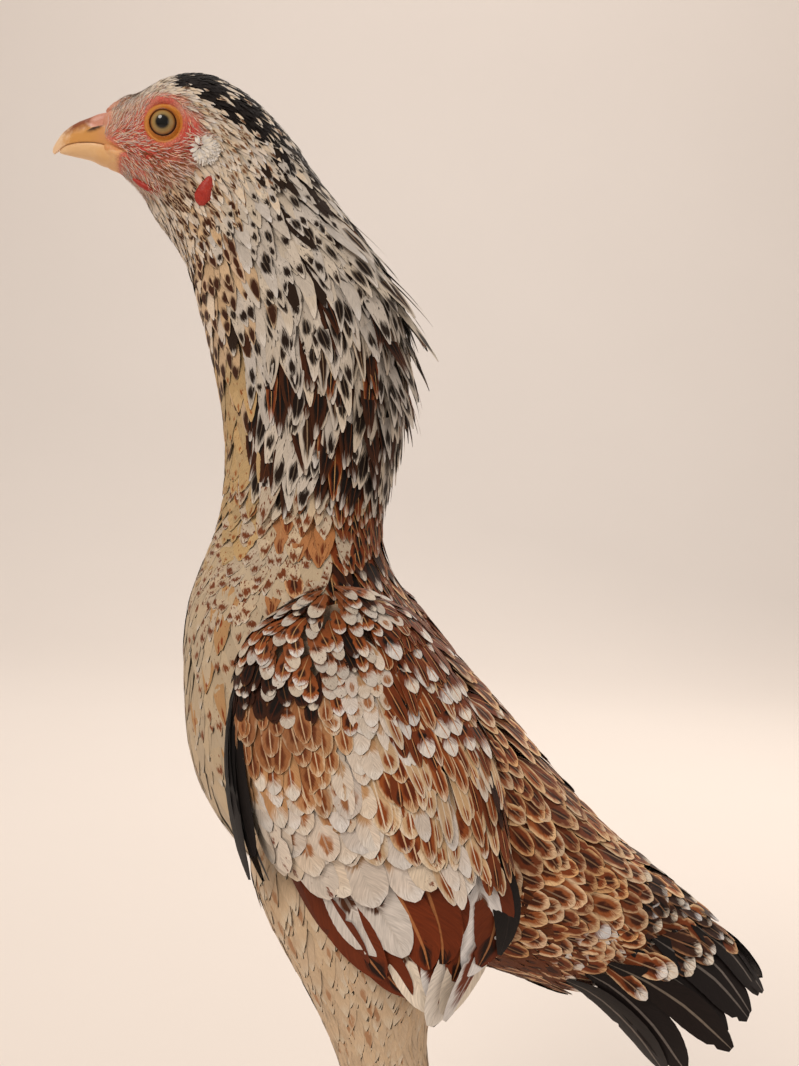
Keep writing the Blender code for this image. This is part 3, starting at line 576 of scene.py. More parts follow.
def paintLayers(kinds, draw, vary, grain):
    # the recipe of each vane, every one a little lighter, darker or warmer than the next
    layers = {name: [] for name in ("ground", "mark", "tip", "edge", "markShape", "tipShape", "finish")}
    for kind in kinds:
        recipe = recipes[kind]
        light, warm = 1 + draw.uniform(-vary, 0.7 * vary), draw.uniform(-0.3, 0.3) * vary
        for name, colour in zip(("ground", "mark", "tip", "edge"), recipe[:4]):
            red, green, blue, _ = paint(*colour)
            layers[name].append((red * light * (1 + warm), green * light, blue * light * (1 - 2 * warm), 1))
        at, long, wide = recipe[4]
        grown = draw.uniform(0.75, 1.3)
        layers["markShape"].append((at + draw.uniform(-0.05, 0.05), long * grown, wide * grown))
        layers["tipShape"].append((recipe[5][0] + draw.uniform(-0.05, 0.05), recipe[5][1], recipe[5][2]))
        layers["finish"].append((*recipe[6], grain))
    return {name: np.array(values) for name, values in layers.items()}


def makeCoat(
    name, wear, form, vanes, blade, pick, draw, mirrored=False, soft=0.5, vary=0.14, grain=0.9, ground=None
):
    # Many vanes on one form as one piece. Wear is its material, a slot name that nothing reads, and its node; pick
    # weighs the recipes where each tip shows, and ground gives the height of any relief under the vanes.
    count, steps, designs = len(vanes["t"]), 7, blades[blade]
    paths, ups, across = spinesOf(
        form, vanes["t"], vanes["turn"], vanes["length"], vanes["heading"], vanes["stiff"], steps
    )
    shown = paths[6] / mm
    kinds = pickKinds(pick(shown[:, 0], shown[:, 2], np.cos(vanes["turn"] * tau), vanes), count, draw)
    perVane = paintLayers(kinds, draw, vary, grain)
    lot, which = draw.uniform(size=count), draw.integers(len(designs), size=count)
    points, facing, faces, bake, done = [], [], [], [], 0
    layers = {key: [] for key in ("vane", *perVane)}
    for number, (place, bladeFaces) in enumerate(designs):
        here = np.flatnonzero(which == number)
        x, y, z, u, v = place.T
        low = np.minimum((y * steps).astype(int), steps - 1)
        share = (y * steps - low)[:, None, None]
        spine, up, side = (
            rows[low][:, here] * (1 - share) + rows[low + 1][:, here] * share for rows in (paths, ups, across)
        )
        wide = vanes["width"][here] / 2 * x[:, None]
        y, z = y[:, None], z[:, None]
        left = (1 - y) ** vanes["rise"][here]
        height = vanes["rootLift"][here] * left + vanes["tipLift"][here] * (1 - left)
        height = height + z * vanes["thick"][here] * (1 - 0.6 * y) + wide * vanes["roll"][here]
        height = height - np.abs(wide) ** 2 * vanes["arch"][here]
        if ground:
            height = height + ground(spine.reshape(-1, 3)).reshape(height.shape)
        made = spine + side * wide[..., None] + up * height[..., None]
        made = made.transpose(1, 0, 2).reshape(-1, 3)
        size = len(place)
        points.append(made)
        bend = (vanes["roll"][here] - 2 * wide * vanes["arch"][here]) * (1 - soft)
        out = (up - side * bend[..., None]) * np.where(z < 0, -1, 1)[..., None]
        facing.append(unit(out).transpose(1, 0, 2).reshape(-1, 3))
        faces.append((bladeFaces[None] + (np.arange(len(here)) * size)[:, None, None]).reshape(-1, 4) + done)
        done += len(made)
        vane = np.stack([np.tile(u, len(here)), np.tile(v, len(here)), np.repeat(lot[here], size)], 1)
        layers["vane"].append(vane)
        for key, values in perVane.items():
            layers[key].append(np.repeat(values[here], size, axis=0))
        root = np.stack([vanes["turn"][here] % 1, vanes["t"][here] / form["last"]], 1)
        patch = np.stack([np.tile(u, len(here)) / 2, np.tile(v, len(here)) - 0.5], 1) * 0.003
        bake.append(np.repeat(root, size, axis=0) * 0.99 + 0.005 + patch)
    points, facing, faces = np.concatenate(points), np.concatenate(facing), np.concatenate(faces)
    if mirrored:
        points[:, 1] *= -1
        facing[:, 1] *= -1
        faces = faces[:, ::-1]
    layers = {key: np.concatenate(values) for key, values in layers.items()}
    print(name, count, "vanes,", len(faces) * 2, "triangles")
    mesh = meshOf(name, points, faces, layers, np.concatenate(bake))
    mesh.normals_split_custom_set_from_vertices(facing)  # vanes that lie close shade as one coat
    pieceOf(name, mesh, *wear)


def vaneSet(
    t, turn, draw, length, width, root, tip, stiff=0.3, heading=0.0, turned=0.12, thick=0.1, arch=12.0,
    loose=0.4, rolled=0.12, rise=1.0,
):
    # sizes in millimetres, one for all vanes, one each or a table, and none quite alike
    count = len(t)

    def each(value, low=1.0, high=1.0):
        return sized(t, value) * draw.uniform(low, high, count)

    return {
        "t": t, "turn": turn,
        "length": each(length, 0.85, 1.15) * mm, "width": each(width, 0.85, 1.15) * mm,
        "rootLift": each(root) * mm, "tipLift": each(tip) * mm + draw.uniform(-0.6, 1, count) * loose * mm,
        "heading": each(heading) + draw.normal(0, turned, count), "stiff": each(stiff, 0.5, 1.4),
        "roll": draw.normal(0, rolled, count), "thick": each(thick) * mm, "arch": each(arch), "rise": each(rise),
    }


draw = np.random.default_rng(11)
blades = {kind: [vaneBlade(design, draw) for _ in range(4)] for kind, design in vaneDesigns.items()}
eye = {"middle": (-104.8, -13.2, 512.2), "radius": 7.4}


def headingTo(form, t, turn, wayX, wayZ):
    # the heading that points a vane along a way given in the side view
    along, around, up = slopes(form, t, turn)
    forward = unit(along)
    way = np.stack([wayX, 0 * wayX, wayZ], 1)
    return np.arctan2((way * np.cross(forward, up)).sum(1), (way * forward).sum(1))


def awayFromEye(place):
    away = np.hypot(place[:, 0] - eye["middle"][0], place[:, 2] - eye["middle"][2])
    return np.where(np.abs(place[:, 1]) > 8, away, 99)


hornLine = {  # heights and the x of the border between horn and skin on the side of the face
    "z": (494, 499.2, 501.2, 501.7, 503, 505.1, 506.4, 508.6, 511, 514.5, 518, 521),
    "x": (-124.3, -123.5, -122.6, -119.9, -123.3, -126.5, -128.8, -130, -128, -127, -128, -131),
}


def hornEdge(z):
    return np.interp(z, hornLine["z"], hornLine["x"])


def faceArea(place):
    # under 1 on the bare face in the side view
    x, z = place[:, 0], place[:, 2]
    behind = np.hypot((x + 109) / 21.5, (z - 507) / 17.5)
    below = np.hypot((x + 114) / 12, (z - 496) / 11)
    return np.minimum(behind, below)


# Head: tiny feathers, pale bristles over the bare face, none on the eye, the lips or the mouth.

headCoat = {
    "rows": (0.3, 5.5), "spacing": ((0, 2, 4, 5.5), (0.88, 1.0, 1.2, 1.75)), "bristles": 0.68,
    "tuft": (-87.8, 502.4), "tuftSize": 4.3,
}


def headKinds(x, z, deep, vanes):
    rough = 0.1 * softNoise(np.stack([x, 0 * x, z], 1), 3.0)
    band = ramp(deep + rough, 0.62, 0.72) * ramp(x + 0.25 * (z - 530), -101, -97)
    patch = ramp(softNoise(np.stack([x, 0 * x, z], 1), 4.5, 7.0), -0.15, 0.35)
    pale = 0.02 + 0.4 * ramp(x, -91, -80) * patch + 0.25 * ramp(x, -74, -60)
    return {
        "crownInk": 9 * band * (1 - pale),
        "crownSnow": 9 * band * pale + (1 - band) * (
            1.2 + 3 * near(x, z, (-112, 526), (16, 8)) + 6 * near(x, z, (-110, 476), (8, 16))
        ),
        "crownFleck": (1 - band) * (1.0 * near(x, z, (-80, 508), (14, 12)) + 0.5 * ramp(x, -84, -70)),
        "cheekDark": 2.2 * near(x, z, (-88, 480), (13, 8)) + 2.0 * near(x, z, (-97, 489), (7, 6)) + 0.1,
        "throatStreak": 2.0 * near(x, z, (-84, 470), (12, 8)),
        "brownHair": 0.7 * near(x, z, (-96, 494), (6, 5)),
        "napeSpot": 1.0 * ramp(x, -75, -60),
    }


def earTuft():
    # a round white puff of short feathers on each ear, all pointing away from its middle
    table = [k.ravel() for k in np.meshgrid(np.linspace(2.5, 5, 140), np.linspace(0.1, 0.4, 120))]
    flat = surface(bodyForm, *table)[:, [0, 2]] / mm
    count = 190
    angle, out = draw.uniform(0, tau, count), np.sqrt(draw.uniform(0, 0.6, count))
    x = headCoat["tuft"][0] + headCoat["tuftSize"] * out * np.cos(angle)
    z = headCoat["tuft"][1] + headCoat["tuftSize"] * out * np.sin(angle)
    spot = [int(((flat - place) ** 2).sum(1).argmin()) for place in zip(x, z)]
    t, turn = table[0][spot], table[1][spot]
    heading = headingTo(bodyForm, t, turn, out * np.cos(angle) + 0.5, out * np.sin(angle) - 0.35)
    sets = []
    for side in (1, -1):
        sets.append(vaneSet(
            t, turn * side, draw, 3.6 - out, 1.15, 0.3 + 1.2 * (0.7 - out), 1.6 - out, stiff=0.3,
            heading=heading * side, turned=0.4, thick=0.05, loose=0.5,
        ))
    return joinSets(*sets)


def headGround(points):
    # the face's folds, and the low comb over the brow
    x, y, z = points.T / mm
    comb = np.exp(-((x + 122.5) ** 2 / 26 + y**2 / 12)) * (z > 512)
    return faceRelief(points) + 2.3 * comb * mm


def makeHeadCoat():
    t, turn = scatter(bodyForm, headCoat["rows"], (-0.5, 0.5), headCoat["spacing"], draw)
    place = surface(bodyForm, t, turn) / mm
    face = faceArea(place)
    keep = (awayFromEye(place) > 9.3) & ((face > draw.uniform(0.86, 1.06, len(t))) | (place[:, 2] > 524))
    keep &= ~((t < 1.2) & (np.cos(turn * tau) < 0.8)) & ~((t < 0.8) & (draw.uniform(size=len(t)) < 0.6))
    t, turn = t[keep], turn[keep]
    rows = (0, 1.5, 3, 4.5, 5.5)
    hairs = vaneSet(
        t, turn, draw, (rows, (3.0, 4.2, 5.6, 8.0, 12.0)), (rows, (0.69, 0.9775, 1.38, 1.955, 2.99)),
        -bodyDepth(t) / mm - 0.1, 0.35, stiff=0.35, turned=0.14, thick=0.04, loose=0.22, rise=2.0,
    )
    tuft = earTuft()

    def kinds(x, z, deep, vanes):
        shares = headKinds(x, z, deep, vanes)
        shares["earTuft"] = 500.0 * (np.arange(len(x)) >= len(t))
        return shares

    makeCoat(
        "headFeathers", (softFeather, "neck_plumage", "head"), bodyForm, joinSets(hairs, tuft), "small", kinds,
        draw, soft=0.7, grain=0.5, ground=headGround,
    )


def hairKinds(x, z, deep, vanes):
    return {
        "faceHair": 2.4,
        "crownSnow": 0.6 + 6 * near(x, z, (-116, 524), (12, 6)) + 3 * near(x, z, (-114, 486), (10, 6)),
        "brownHair": 2.4 * near(x, z, (-104, 500), (8, 4)) + 2.6 * near(x, z, (-99, 491), (8, 6)) + 0.2,
    }


def makeBristles():
    # short hairs that stream back from the beak, over and round behind the eye, and down the cheek
    t, turn = scatter(bodyForm, (0.1, 4.2), (-0.5, 0.5), headCoat["bristles"], draw)
    place = surface(bodyForm, t, turn) / mm
    away = awayFromEye(place)
    onComb = np.hypot((place[:, 0] + 123) / 8, (place[:, 2] - 520) / 5) < 1
    keep = (away > 9.0) & (onComb | (faceArea(place) < draw.uniform(0.9, 1.15, len(t))))
    keep &= (place[:, 0] > hornEdge(place[:, 2]) + 0.4) & (place[:, 0] > -131.5)
    keep &= draw.uniform(size=len(t)) > 0.55 * near(place[:, 0], place[:, 2], (-95, 511), (7, 10))
    t, turn, place, away = t[keep], turn[keep], place[keep], away[keep]
    x, z = place[:, 0] - eye["middle"][0], place[:, 2] - eye["middle"][2]
    far = np.hypot(x, z)
    ahead = np.hypot(place[:, 0] + 131, place[:, 2] - 505)
    curl = np.exp(-((far / 15) ** 2)) * ramp(z + 0.3 * x, -4, 2) * (away < 90)
    wayX = (1 - curl) * (place[:, 0] + 131) / ahead + curl * z / far
    wayZ = (1 - curl) * (place[:, 2] - 505) / ahead - curl * x / far
    length = np.interp(away, (9, 14, 22), (2.6, 3.8, 4.6))
    vanes = vaneSet(
        t, turn, draw, length, 0.31, -0.2, 0.6, stiff=0.3, heading=headingTo(bodyForm, t, turn, wayX, wayZ),
        turned=0.26, thick=0.05, arch=0, loose=0.35, rise=1.2,
    )
    makeCoat(
        "faceBristles", (softFeather, "face_skin", "head"), bodyForm, vanes, "bristle", hairKinds, draw,
        soft=0.3, vary=0.3, grain=0.2, ground=headGround,
    )


# Neck: a cape of pointed hackles that stands off behind, over short plain feathers in front.

def neckKinds(x, z, deep, vanes):
    front = ramp(-deep, 0.3, 0.7)
    rear = 1 - front
    cape = ramp(z, 366, 388)
    dark = near(x, z, (-34, 396), (34, 21)) * rear
    tips = near(x, z, (-8, 418), (16, 38)) * rear
    return {
        "napeSnow": 1.6 * rear * ramp(z, 412, 450),
        "napeInk": 2.8 * near(x, z, (-56, 500), (12, 16)) + 0.6 * near(x, z, (-44, 478), (12, 14))
        + 0.4 * near(x, z, (-66, 470), (20, 30)) + 0.2 * rear * cape * ramp(-24 - x, 0, 10),
        "napeSpot": (3.0 + 1.5 * ramp(470 - z, 0, 40)) * rear * cape,
        "hackleDrop": (0.8 + 4.6 * ramp(458 - z, 0, 36) + 1.5 * tips) * rear * cape,
        "hackleLong": (3.0 * dark + 6.0 * tips) * cape,
        "hackleDark": 12.0 * dark * cape,
        "hackleRust": 2.4 * dark * cape + 5.0 * ramp(x, -36, -22) * ramp(392 - z, 0, 20) + 0.9 * tips,
        "throatStreak": 3.4 * near(x, z, (-90, 462), (12, 26)) + 2.2 * near(x, z, (-74, 425), (7, 34)),
        "cheekDark": 2.2 * near(x, z, (-78, 462), (18, 16)),
        "crownSnow": 0.8 * near(x, z, (-80, 455), (20, 30)),
        "neckStraw": 5.0 * front * ramp(420 - z, 0, 20) * ramp(z, 335, 365),
        "neckFleck": 2.6 * (1 - cape) * (1 - ramp(x, -30, -18)),
        "neckRust": 3.0 * near(x, z, (-46, 366), (12, 20)) + 1.2 * near(x, z, (-30, 350), (14, 12)),
        "shoulderDark": 2.2 * near(x, z, (-22, 342), (14, 8)),
    }


def makeNeckCoat():
    spacing = ((5, 6, 7.5, 9, 11.5), (1.9, 2.2, 2.7, 3.1, 3.5))
    t, turn = scatter(bodyForm, (5.0, 11.5), (-0.5, 0.5), spacing, draw, 1.6)
    deep = np.cos(turn * tau)
    front = ramp(-deep, 0.3, 0.8)
    length = np.interp(t, (5, 6, 7.2, 8.6, 9.4, 9.8, 11.5), (12, 18, 32, 40, 34, 22, 24))
    length = length * (1 - 0.42 * front)
    width = np.interp(t, (5, 6, 7.5, 9, 11.5), (3.2, 4.4, 5.6, 7.2, 9.0)) * (1 + 0.2 * front)
    cape = np.interp(t, (6, 7.5, 9.3, 9.6), (0.3, 1.2, 2.0, 0.0)) * (1 - front)
    vanes = vaneSet(
        t, turn, draw, length, width, -bodyDepth(t) / mm + 0.2, 0.1 + cape,
        stiff=np.where(deep > 0.1, 0.5, 0.15), turned=0.1, thick=0.04, loose=0.15 + 0.2 * (1 - front),
        rise=2.6, rolled=0.04,
    )
    t, turn = scatter(bodyForm, (6.4, 8.7), (-0.14, 0.14), 5.6, draw, 1.3)
    flared = vaneSet(
        t, turn, draw, 34, 6.5, -bodyDepth(t) / mm + 1, ((6.4, 8.7), (3, 6.5)), stiff=0.9, turned=0.14,
        thick=0.06, loose=1.2, rise=1.3,
    )
    vanes = joinSets(vanes, flared)
    t = vanes["t"]
    for name, chosen in (("upperHackles", t < 7.6), ("lowerHackles", t >= 7.6)):
        part = {key: values[chosen] for key, values in vanes.items()}
        wear = softFeather, "neck_plumage", "neck"
        makeCoat(name, wear, bodyForm, part, "hackle", neckKinds, draw, soft=0.85, vary=0.12, grain=0.8)


# Breast, belly and vent: broad, silky and close.

def underWing(t, turn):
    turn = np.abs(turn)
    return (t > 12.7) & (t < 15.2) & (turn > 0.16) & (turn < 0.35)


def breastKinds(x, z, deep, vanes):
    vent = ramp(x, 15, 45)
    return {
        "breastCream": 1.0 * (1 - vent) * ramp(z, 225, 285) + 0.05,
        "breastPlain": (0.9 + 2.5 * ramp(290 - z, 0, 40)) * (1 - vent),
        "breastRust": 2.2 * near(x, z, (-70, 305), (5, 22)) + 0.3 * near(x, z, (-62, 285), (8, 20)),
        "neckFleck": 1.6 * ramp(z, 296, 330) * (1 - vent),
        "ventDark": 3.0 * vent,
        "lacedPale": 0.8 * vent,
        "lacedTip": 3.0 * ramp(x, 66, 76),
    }


def makeBreastCoat():
    spacing = ((10.8, 13, 16, 19), (2.5, 2.9, 2.9, 2.8))
    t, turn = scatter(bodyForm, (10.8, 19), (0.2, 0.8), spacing, draw, 2.0)
    keep = ~underWing(t, (turn + 0.5) % 1 - 0.5)
    t, turn = t[keep], turn[keep]
    vanes = vaneSet(
        t, turn, draw, ((10.8, 13, 17, 19), (22, 30, 30, 18)), 8.2, -bodyDepth(t) / mm + 0.6, 0.0,
        stiff=0.12, turned=0.1, thick=0.03, arch=3.0, loose=0.08, rolled=0.012, rise=5.0,
    )
    wear = softFeather, "breast_plumage", "torso"
    makeCoat(
        "breastFeathers", wear, bodyForm, vanes, "silk", breastKinds, draw, soft=0.95, vary=0.07, grain=0.4
    )


# Back, saddle and tail coverts: chestnut, each vane edged with buff.

def backKinds(x, z, deep, vanes):
    return {
        "laced": 1.6,
        "lacedPale": 0.3 + 1.4 * ramp(x, 20, 60),
        "lacedTip": 0.2 * ramp(x, 60, 90) + 2.0 * ramp(x, 96, 104) * (1 - ramp(z, 198, 206)),
        "scapular": 1.2 * (1 - ramp(x, 10, 40)),
        "hackleRust": 1.0 * (1 - ramp(x, -5, 15)),
        "dropTip": 0.35 * (1 - ramp(x, 20, 45)),
        "tailCover": 9.0 * ramp(x, 98, 106) * ramp(z, 198, 206),
    }


def makeBackCoat():
    spacing = ((10.9, 14, 17, 19), (4.2, 4.4, 4.2, 4.2))
    t, turn = scatter(bodyForm, (10.9, 18.9), (-0.31, 0.31), spacing, draw, 1.9)
    keep = ~underWing(t, turn) & (np.abs(turn) < np.interp(t, (15, 17), (0.27, 0.31)))
    t, turn = t[keep], turn[keep]
    vanes = vaneSet(
        t, turn, draw, ((10.9, 14, 17, 19), (22, 24, 25, 22)), ((10.9, 14, 19), (8, 8.8, 9)),
        -bodyDepth(t) / mm + 0.3, 0.3, stiff=0.4, thick=0.06, turned=0.19, loose=0.3, rolled=0.06, rise=2.4,
    )
    wear = softFeather, "breast_plumage", "torso"
    makeCoat("backFeathers", wear, bodyForm, vanes, "round", backKinds, draw, soft=0.75, vary=0.22)


# Wings: small scales on the shoulder, rounded coverts, narrow shafted scapulars behind, then
# the flight feathers, the black outer ones along the front edge.

def wingKinds(x, z, deep, vanes):
    shoulder, rear = ramp(z, 302, 309) * ramp(-8 - x, 0, 8), ramp(x, -10, 0)
    band = ramp(z, 293, 297) * ramp(310 - z, 0, 5) * ramp(-26 - x, 0, 6)
    return {
        "shoulderSnow": 3.2 * shoulder + 0.4 * band,
        "shoulderRust": 1.6 * shoulder + 0.5 * band + 0.8 * near(x, z, (-22, 303), (10, 8)),
        "shoulderDark": 1.0 * shoulder + 0.8 * band,
        "bandDark": 3.4 * band + 2.0 * near(x, z, (38, 272), (4, 16)),
        "tanShaft": 3.2 * near(x, z, (-42, 285), (15, 9)),
        "coverTan": 2.6 * near(x, z, (-27, 274), (8, 16)),
        "coverTip": 3.4 * near(x, z, (-46, 269), (10, 5)),
        "coverPlain": 4.0 * near(x, z, (-48, 252), (9, 14)) + 1.8 * near(x, z, (-13, 276), (8, 30))
        + 4.0 * near(x, z, (-20, 236), (30, 9)) + 1.5 * near(x, z, (18, 244), (16, 10)),
        "coverSnow": 2.4 * near(x, z, (-31, 254), (10, 9)) + 2.0 * near(x, z, (-14, 285), (9, 30))
        + 4.0 * near(x, z, (32, 276), (4, 16)),
        "coverSpeck": 1.4 * near(x, z, (-26, 240), (26, 8)),
        "dropTip": rear * (0.8 * near(x, z, (8, 306), (16, 18)) + 0.5 * ramp(x, 26, 34)),
        "scapular": rear * (2.6 * near(x, z, (10, 308), (18, 24)) + 1.4 * ramp(x, 26, 34)),
        "scapularTan": rear * 3.4 * near(x, z, (12, 258), (22, 26)),
        "scapularRust": rear * 2.6 * near(x, z, (14, 270), (22, 26)),
        "laced": 1.6 * ramp(x, 30, 40),
    }


def flightKinds(x, z, deep, vanes):
    turn, upper = vanes["turn"], vanes["t"] < 4.4
    white = (np.abs(turn - 0.325) < 0.034) | (np.abs(turn - 0.155) < 0.036)
    return {
        "flightInk": 900.0 * (turn > 0.445) + 300.0 * upper * (turn < 0.075),
        "flightRust": 2.0,
        "flightSnow": 60.0 * white,
        "flightBar": 0.5 * (1 - upper) * (turn < 0.3),
    }


def rowOf(t, first, last, count):
    turn = np.linspace(first, last, count) + draw.uniform(-0.006, 0.006, count)
    return t + draw.uniform(-0.06, 0.06, count), turn


def joinSets(*sets):
    return {key: np.concatenate([s[key] for s in sets]) for key in sets[0]}


wingLie = {"rolled": 0.05, "loose": 0.22, "thick": 0.06}
wingRegions = {  # rows and turns, spacing and stretch, then length, width, root, tip and turned
    "shoulder": ((0.03, 1.9), (-0.08, 0.56), 2.9, 1.4, 13, 5.4, -2.2, 0.4, 0.2),
    "middle coverts": ((1.6, 2.9), (0.16, 0.5), 3.8, 1.8, 22, 7.6, -2.2, 0.2, 0.1),
    "large coverts": ((2.3, 3.15), (0.2, 0.49), 4.6, 1.8, 28, 9.5, -2.4, 0.1, 0.08),
    "scapulars": ((0.9, 3.7), (-0.06, 0.2), 3.1, 2.5, 30, 5.4, -2.2, 0.4, 0.07),
}


def makeWing(side):
    mirrored = side == "right"
    wear = wingFeather, "wing_plumage", f"wing_{side}"
    coverts = []
    for rows, turns, spacing, stretch, length, width, root, tip, turned in wingRegions.values():
        spots = scatter(wingForm, rows, turns, spacing, draw, stretch)
        coverts.append(vaneSet(*spots, draw, length, width, root, tip, turned=turned, rise=2.4, **wingLie))
    coverts += [
        vaneSet(*rowOf(3.0, 0.15, 0.47, 9), draw, 32, 13, -2.6, 0.0, turned=0.04, rise=2.0, **wingLie),
        vaneSet(*rowOf(3.38, 0.12, 0.46, 9), draw, 34, 14, -3.0, -0.5, turned=0.04, rise=2.0, **wingLie),
    ]
    name, coverts = f"wingCoverts_{side}", joinSets(*coverts)
    makeCoat(name, wear, wingForm, coverts, "round", wingKinds, draw, mirrored, soft=0.7, vary=0.12)
    spots = scatter(wingForm, (0.5, 2.1), (0.0, 0.17), 6.6, draw, 1.25)
    drops = vaneSet(*spots, draw, 24, 8.4, -2.0, 0.8, turned=0.1, rise=2.0, **wingLie)
    makeCoat(
        f"wingDrops_{side}", wear, wingForm, drops, "round", lambda *given: {"dropTip": 1}, draw, mirrored,
        soft=0.7,
    )
    first = vaneSet(*rowOf(4.0, 0.05, 0.43, 10), draw, 50, 16, -3.4, -1.0, turned=0.02, thick=0.2)
    first["length"] = first["length"] * np.where(first["turn"] < 0.075, 0.72, 1)
    second = vaneSet(*rowOf(4.8, 0.08, 0.4, 8), draw, 46, 15, -4.4, -1.8, turned=0.03, thick=0.2)
    outer = vaneSet(
        *rowOf(1.5, 0.452, 0.502, 6), draw, 69, 10, -1.2, 0.7, turned=0.012, thick=0.2, rise=2.6
    )
    flights = joinSets(first, second, outer)
    makeCoat(f"wingFlights_{side}", wear, wingForm, flights, "flight", flightKinds, draw, mirrored)


crownForm = formOf(((-32, 343.3, -29, 343.7, 1.0, 0, -40.5, -40),) + wingRows)


def makeWingCrown(side):
    # short vanes that run outwards over the top of the wing
    spots = scatter(crownForm, (0.1, 1.0), (-0.5, 0.5), 2.3, draw, 1.3)
    vanes = vaneSet(*spots, draw, 13, 5.4, -1.0, 0.6, turned=0.2, rise=2.0, **wingLie)
    wear = wingFeather, "wing_plumage", f"wing_{side}"
    makeCoat(
        f"wingCrown_{side}", wear, crownForm, vanes, "round", wingKinds, draw, side == "right", 0.7, 0.12
    )


# Tail: stiff dark feathers held like a narrow tent, under chestnut coverts with white tips.

def makeTail():
    turn = np.concatenate([np.linspace(0.03, 0.37, 8), -np.linspace(0.03, 0.37, 8)])
    t = 0.5 - 0.9 * np.abs(turn) + draw.uniform(-0.06, 0.06, len(turn))
    length = 47 + 30 * np.abs(turn)
    level = -2.5 + 0.9 * (np.arange(len(turn)) % 2)
    vanes = vaneSet(t, turn, draw, length, 15, level, level + 1.5, stiff=0.5, turned=0.07, thick=0.25)
    vanes["length"] = length * draw.uniform(0.94, 1.06, len(turn)) * mm
    wear = tailFeather, "tail_plumage", "tail"
    makeCoat("tailFeathers", wear, tailForm, vanes, "flight", lambda *given: {"rectrix": 1}, draw)

    t, turn = scatter(tailForm, (0.0, 1.3), (-0.5, 0.5), 3.2, draw, 1.7)
    short = (t < 0.72 - 1.3 * np.abs(turn)) & (np.abs(turn) < 0.3)
    t, turn = t[short], turn[short]
    vanes = vaneSet(
        t, turn, draw, 23 - 10 * np.abs(turn), 8.0, -4.5, 0.4, stiff=0.4, turned=0.16, rolled=0.05, rise=1.4
    )

    def coverKinds(x, z, deep, given):
        dark = ramp(-deep, 0.5, 0.9)
        top = ramp(deep, 0.1, 0.5)
        return {
            "tailCover": 3 * top, "lacedTip": 2.2 * (1 - top) * (1 - dark), "laced": 0.5 * (1 - dark),
            "ventDark": 2 * dark,
        }

    wear = softFeather, "tail_plumage", "tail"
    makeCoat("tailCoverts", wear, tailForm, vanes, "round", coverKinds, draw)


# Thighs: cream fluff, closer and shorter towards the hock.

def thighKinds(x, z, deep, vanes):
    return {"thighCream": 0.6, "thighPlain": 2.0}


def makeThigh(side):
    spacing = ((0, 4, 6), (2.4, 2.1, 1.7))
    vanes = vaneSet(
        *scatter(thighForm, (0.0, 5.8), (-0.5, 0.5), spacing, draw, 2.0), draw,
        ((0, 3, 5, 6), (26, 24, 17, 9)), ((0, 3, 6), (7.4, 6.8, 4.2)), ((0, 4, 6), (-4, -2.5, -1)), 0.1,
        stiff=0.15, turned=0.11, thick=0.03, arch=3, loose=0.07, rolled=0.012, rise=4.5,
    )
    name, wear = f"thighFluff_{side}", (softFeather, "breast_plumage", f"thigh_{side}")
    makeCoat(name, wear, thighForm, vanes, "silk", thighKinds, draw, side == "right", 0.92, 0.06, 0.6)


# Cells and tubes for real relief.

def cells(a, b, size, loose=0.3):
    # how far into its cell each place of a jittered honeycomb lies, 0 on the border
    rowStep = size * 0.866
    row = np.floor(b / rowStep + 0.5)
    nearest = np.full((2, len(a)), 9e9)
    for dr in (-2, -1, 0, 1, 2):
        r = row + dr
        offset = (r % 2) * 0.5
        column = np.floor(a / size - offset + 0.5)
        for dc in (-1, 0, 1):
            c = column + dc
            key = (r.astype(int) * 7 + 3) % 32, (c.astype(int) * 5 + 1) % 32
            x = (c + offset + lattice[key[0], key[1], 7] * loose) * size
            y = r * rowStep + lattice[key[0], key[1], 19] * loose * size
            away = np.hypot(a - x, b - y)
            nearest[1] = np.minimum(nearest[1], np.maximum(nearest[0], away))
            nearest[0] = np.minimum(nearest[0], away)
    return np.clip((nearest[1] - nearest[0]) / size * 2, 0, 1)


def tubeOf(rows, sides, placed):
    # a closed tube: rows are places down a form, and placed(t, turn) gives its points
    bm = bmesh.new()
    bmesh.ops.create_grid(bm, x_segments=sides, y_segments=len(rows) - 1, size=0.5)
    grid = np.array([v.co for v in bm.verts])
    t = np.interp(grid[:, 1] + 0.5, np.linspace(0, 1, len(rows)), rows)
    for v, point in zip(bm.verts, placed(t, grid[:, 0] + 0.5)):
        v.co = point
    bmesh.ops.remove_doubles(bm, verts=bm.verts, dist=2e-6)
    ends = bmesh.ops.holes_fill(bm, edges=[e for e in bm.edges if e.is_boundary], sides=0)["faces"]
    bmesh.ops.poke(bm, faces=ends)
    bmesh.ops.recalc_face_normals(bm, faces=bm.faces)
    if bm.calc_volume(signed=True) < 0:
        bmesh.ops.reverse_faces(bm, faces=bm.faces)
    return bm


def meshFrom(bm, name, mirrored=False):
    if mirrored:
        bmesh.ops.scale(bm, vec=(1, -1, 1), verts=bm.verts)
        bmesh.ops.reverse_faces(bm, faces=bm.faces)
    mesh = bpy.data.meshes.new(name)
    bm.to_mesh(mesh)
    bm.free()
    mesh.shade_smooth()
    return mesh


def pointsOf(mesh):
    points = np.empty(len(mesh.vertices) * 3, np.float32)
    mesh.vertices.foreach_get("co", points)
    return points.reshape(-1, 3).astype(float)


def paintOn(mesh, name, values):
    values = np.asarray(values, np.float32)
    kind, field = ("FLOAT", "value") if values.ndim == 1 else ("FLOAT_COLOR", "color")
    mesh.attributes.new(name, kind, "POINT").data.foreach_set(field, values.ravel())


# The skin: one surface under all the plumage, bare and red on the face. Each face form is its
# middle and its reach along, across and up in millimetres, its slope and how far it stands out.

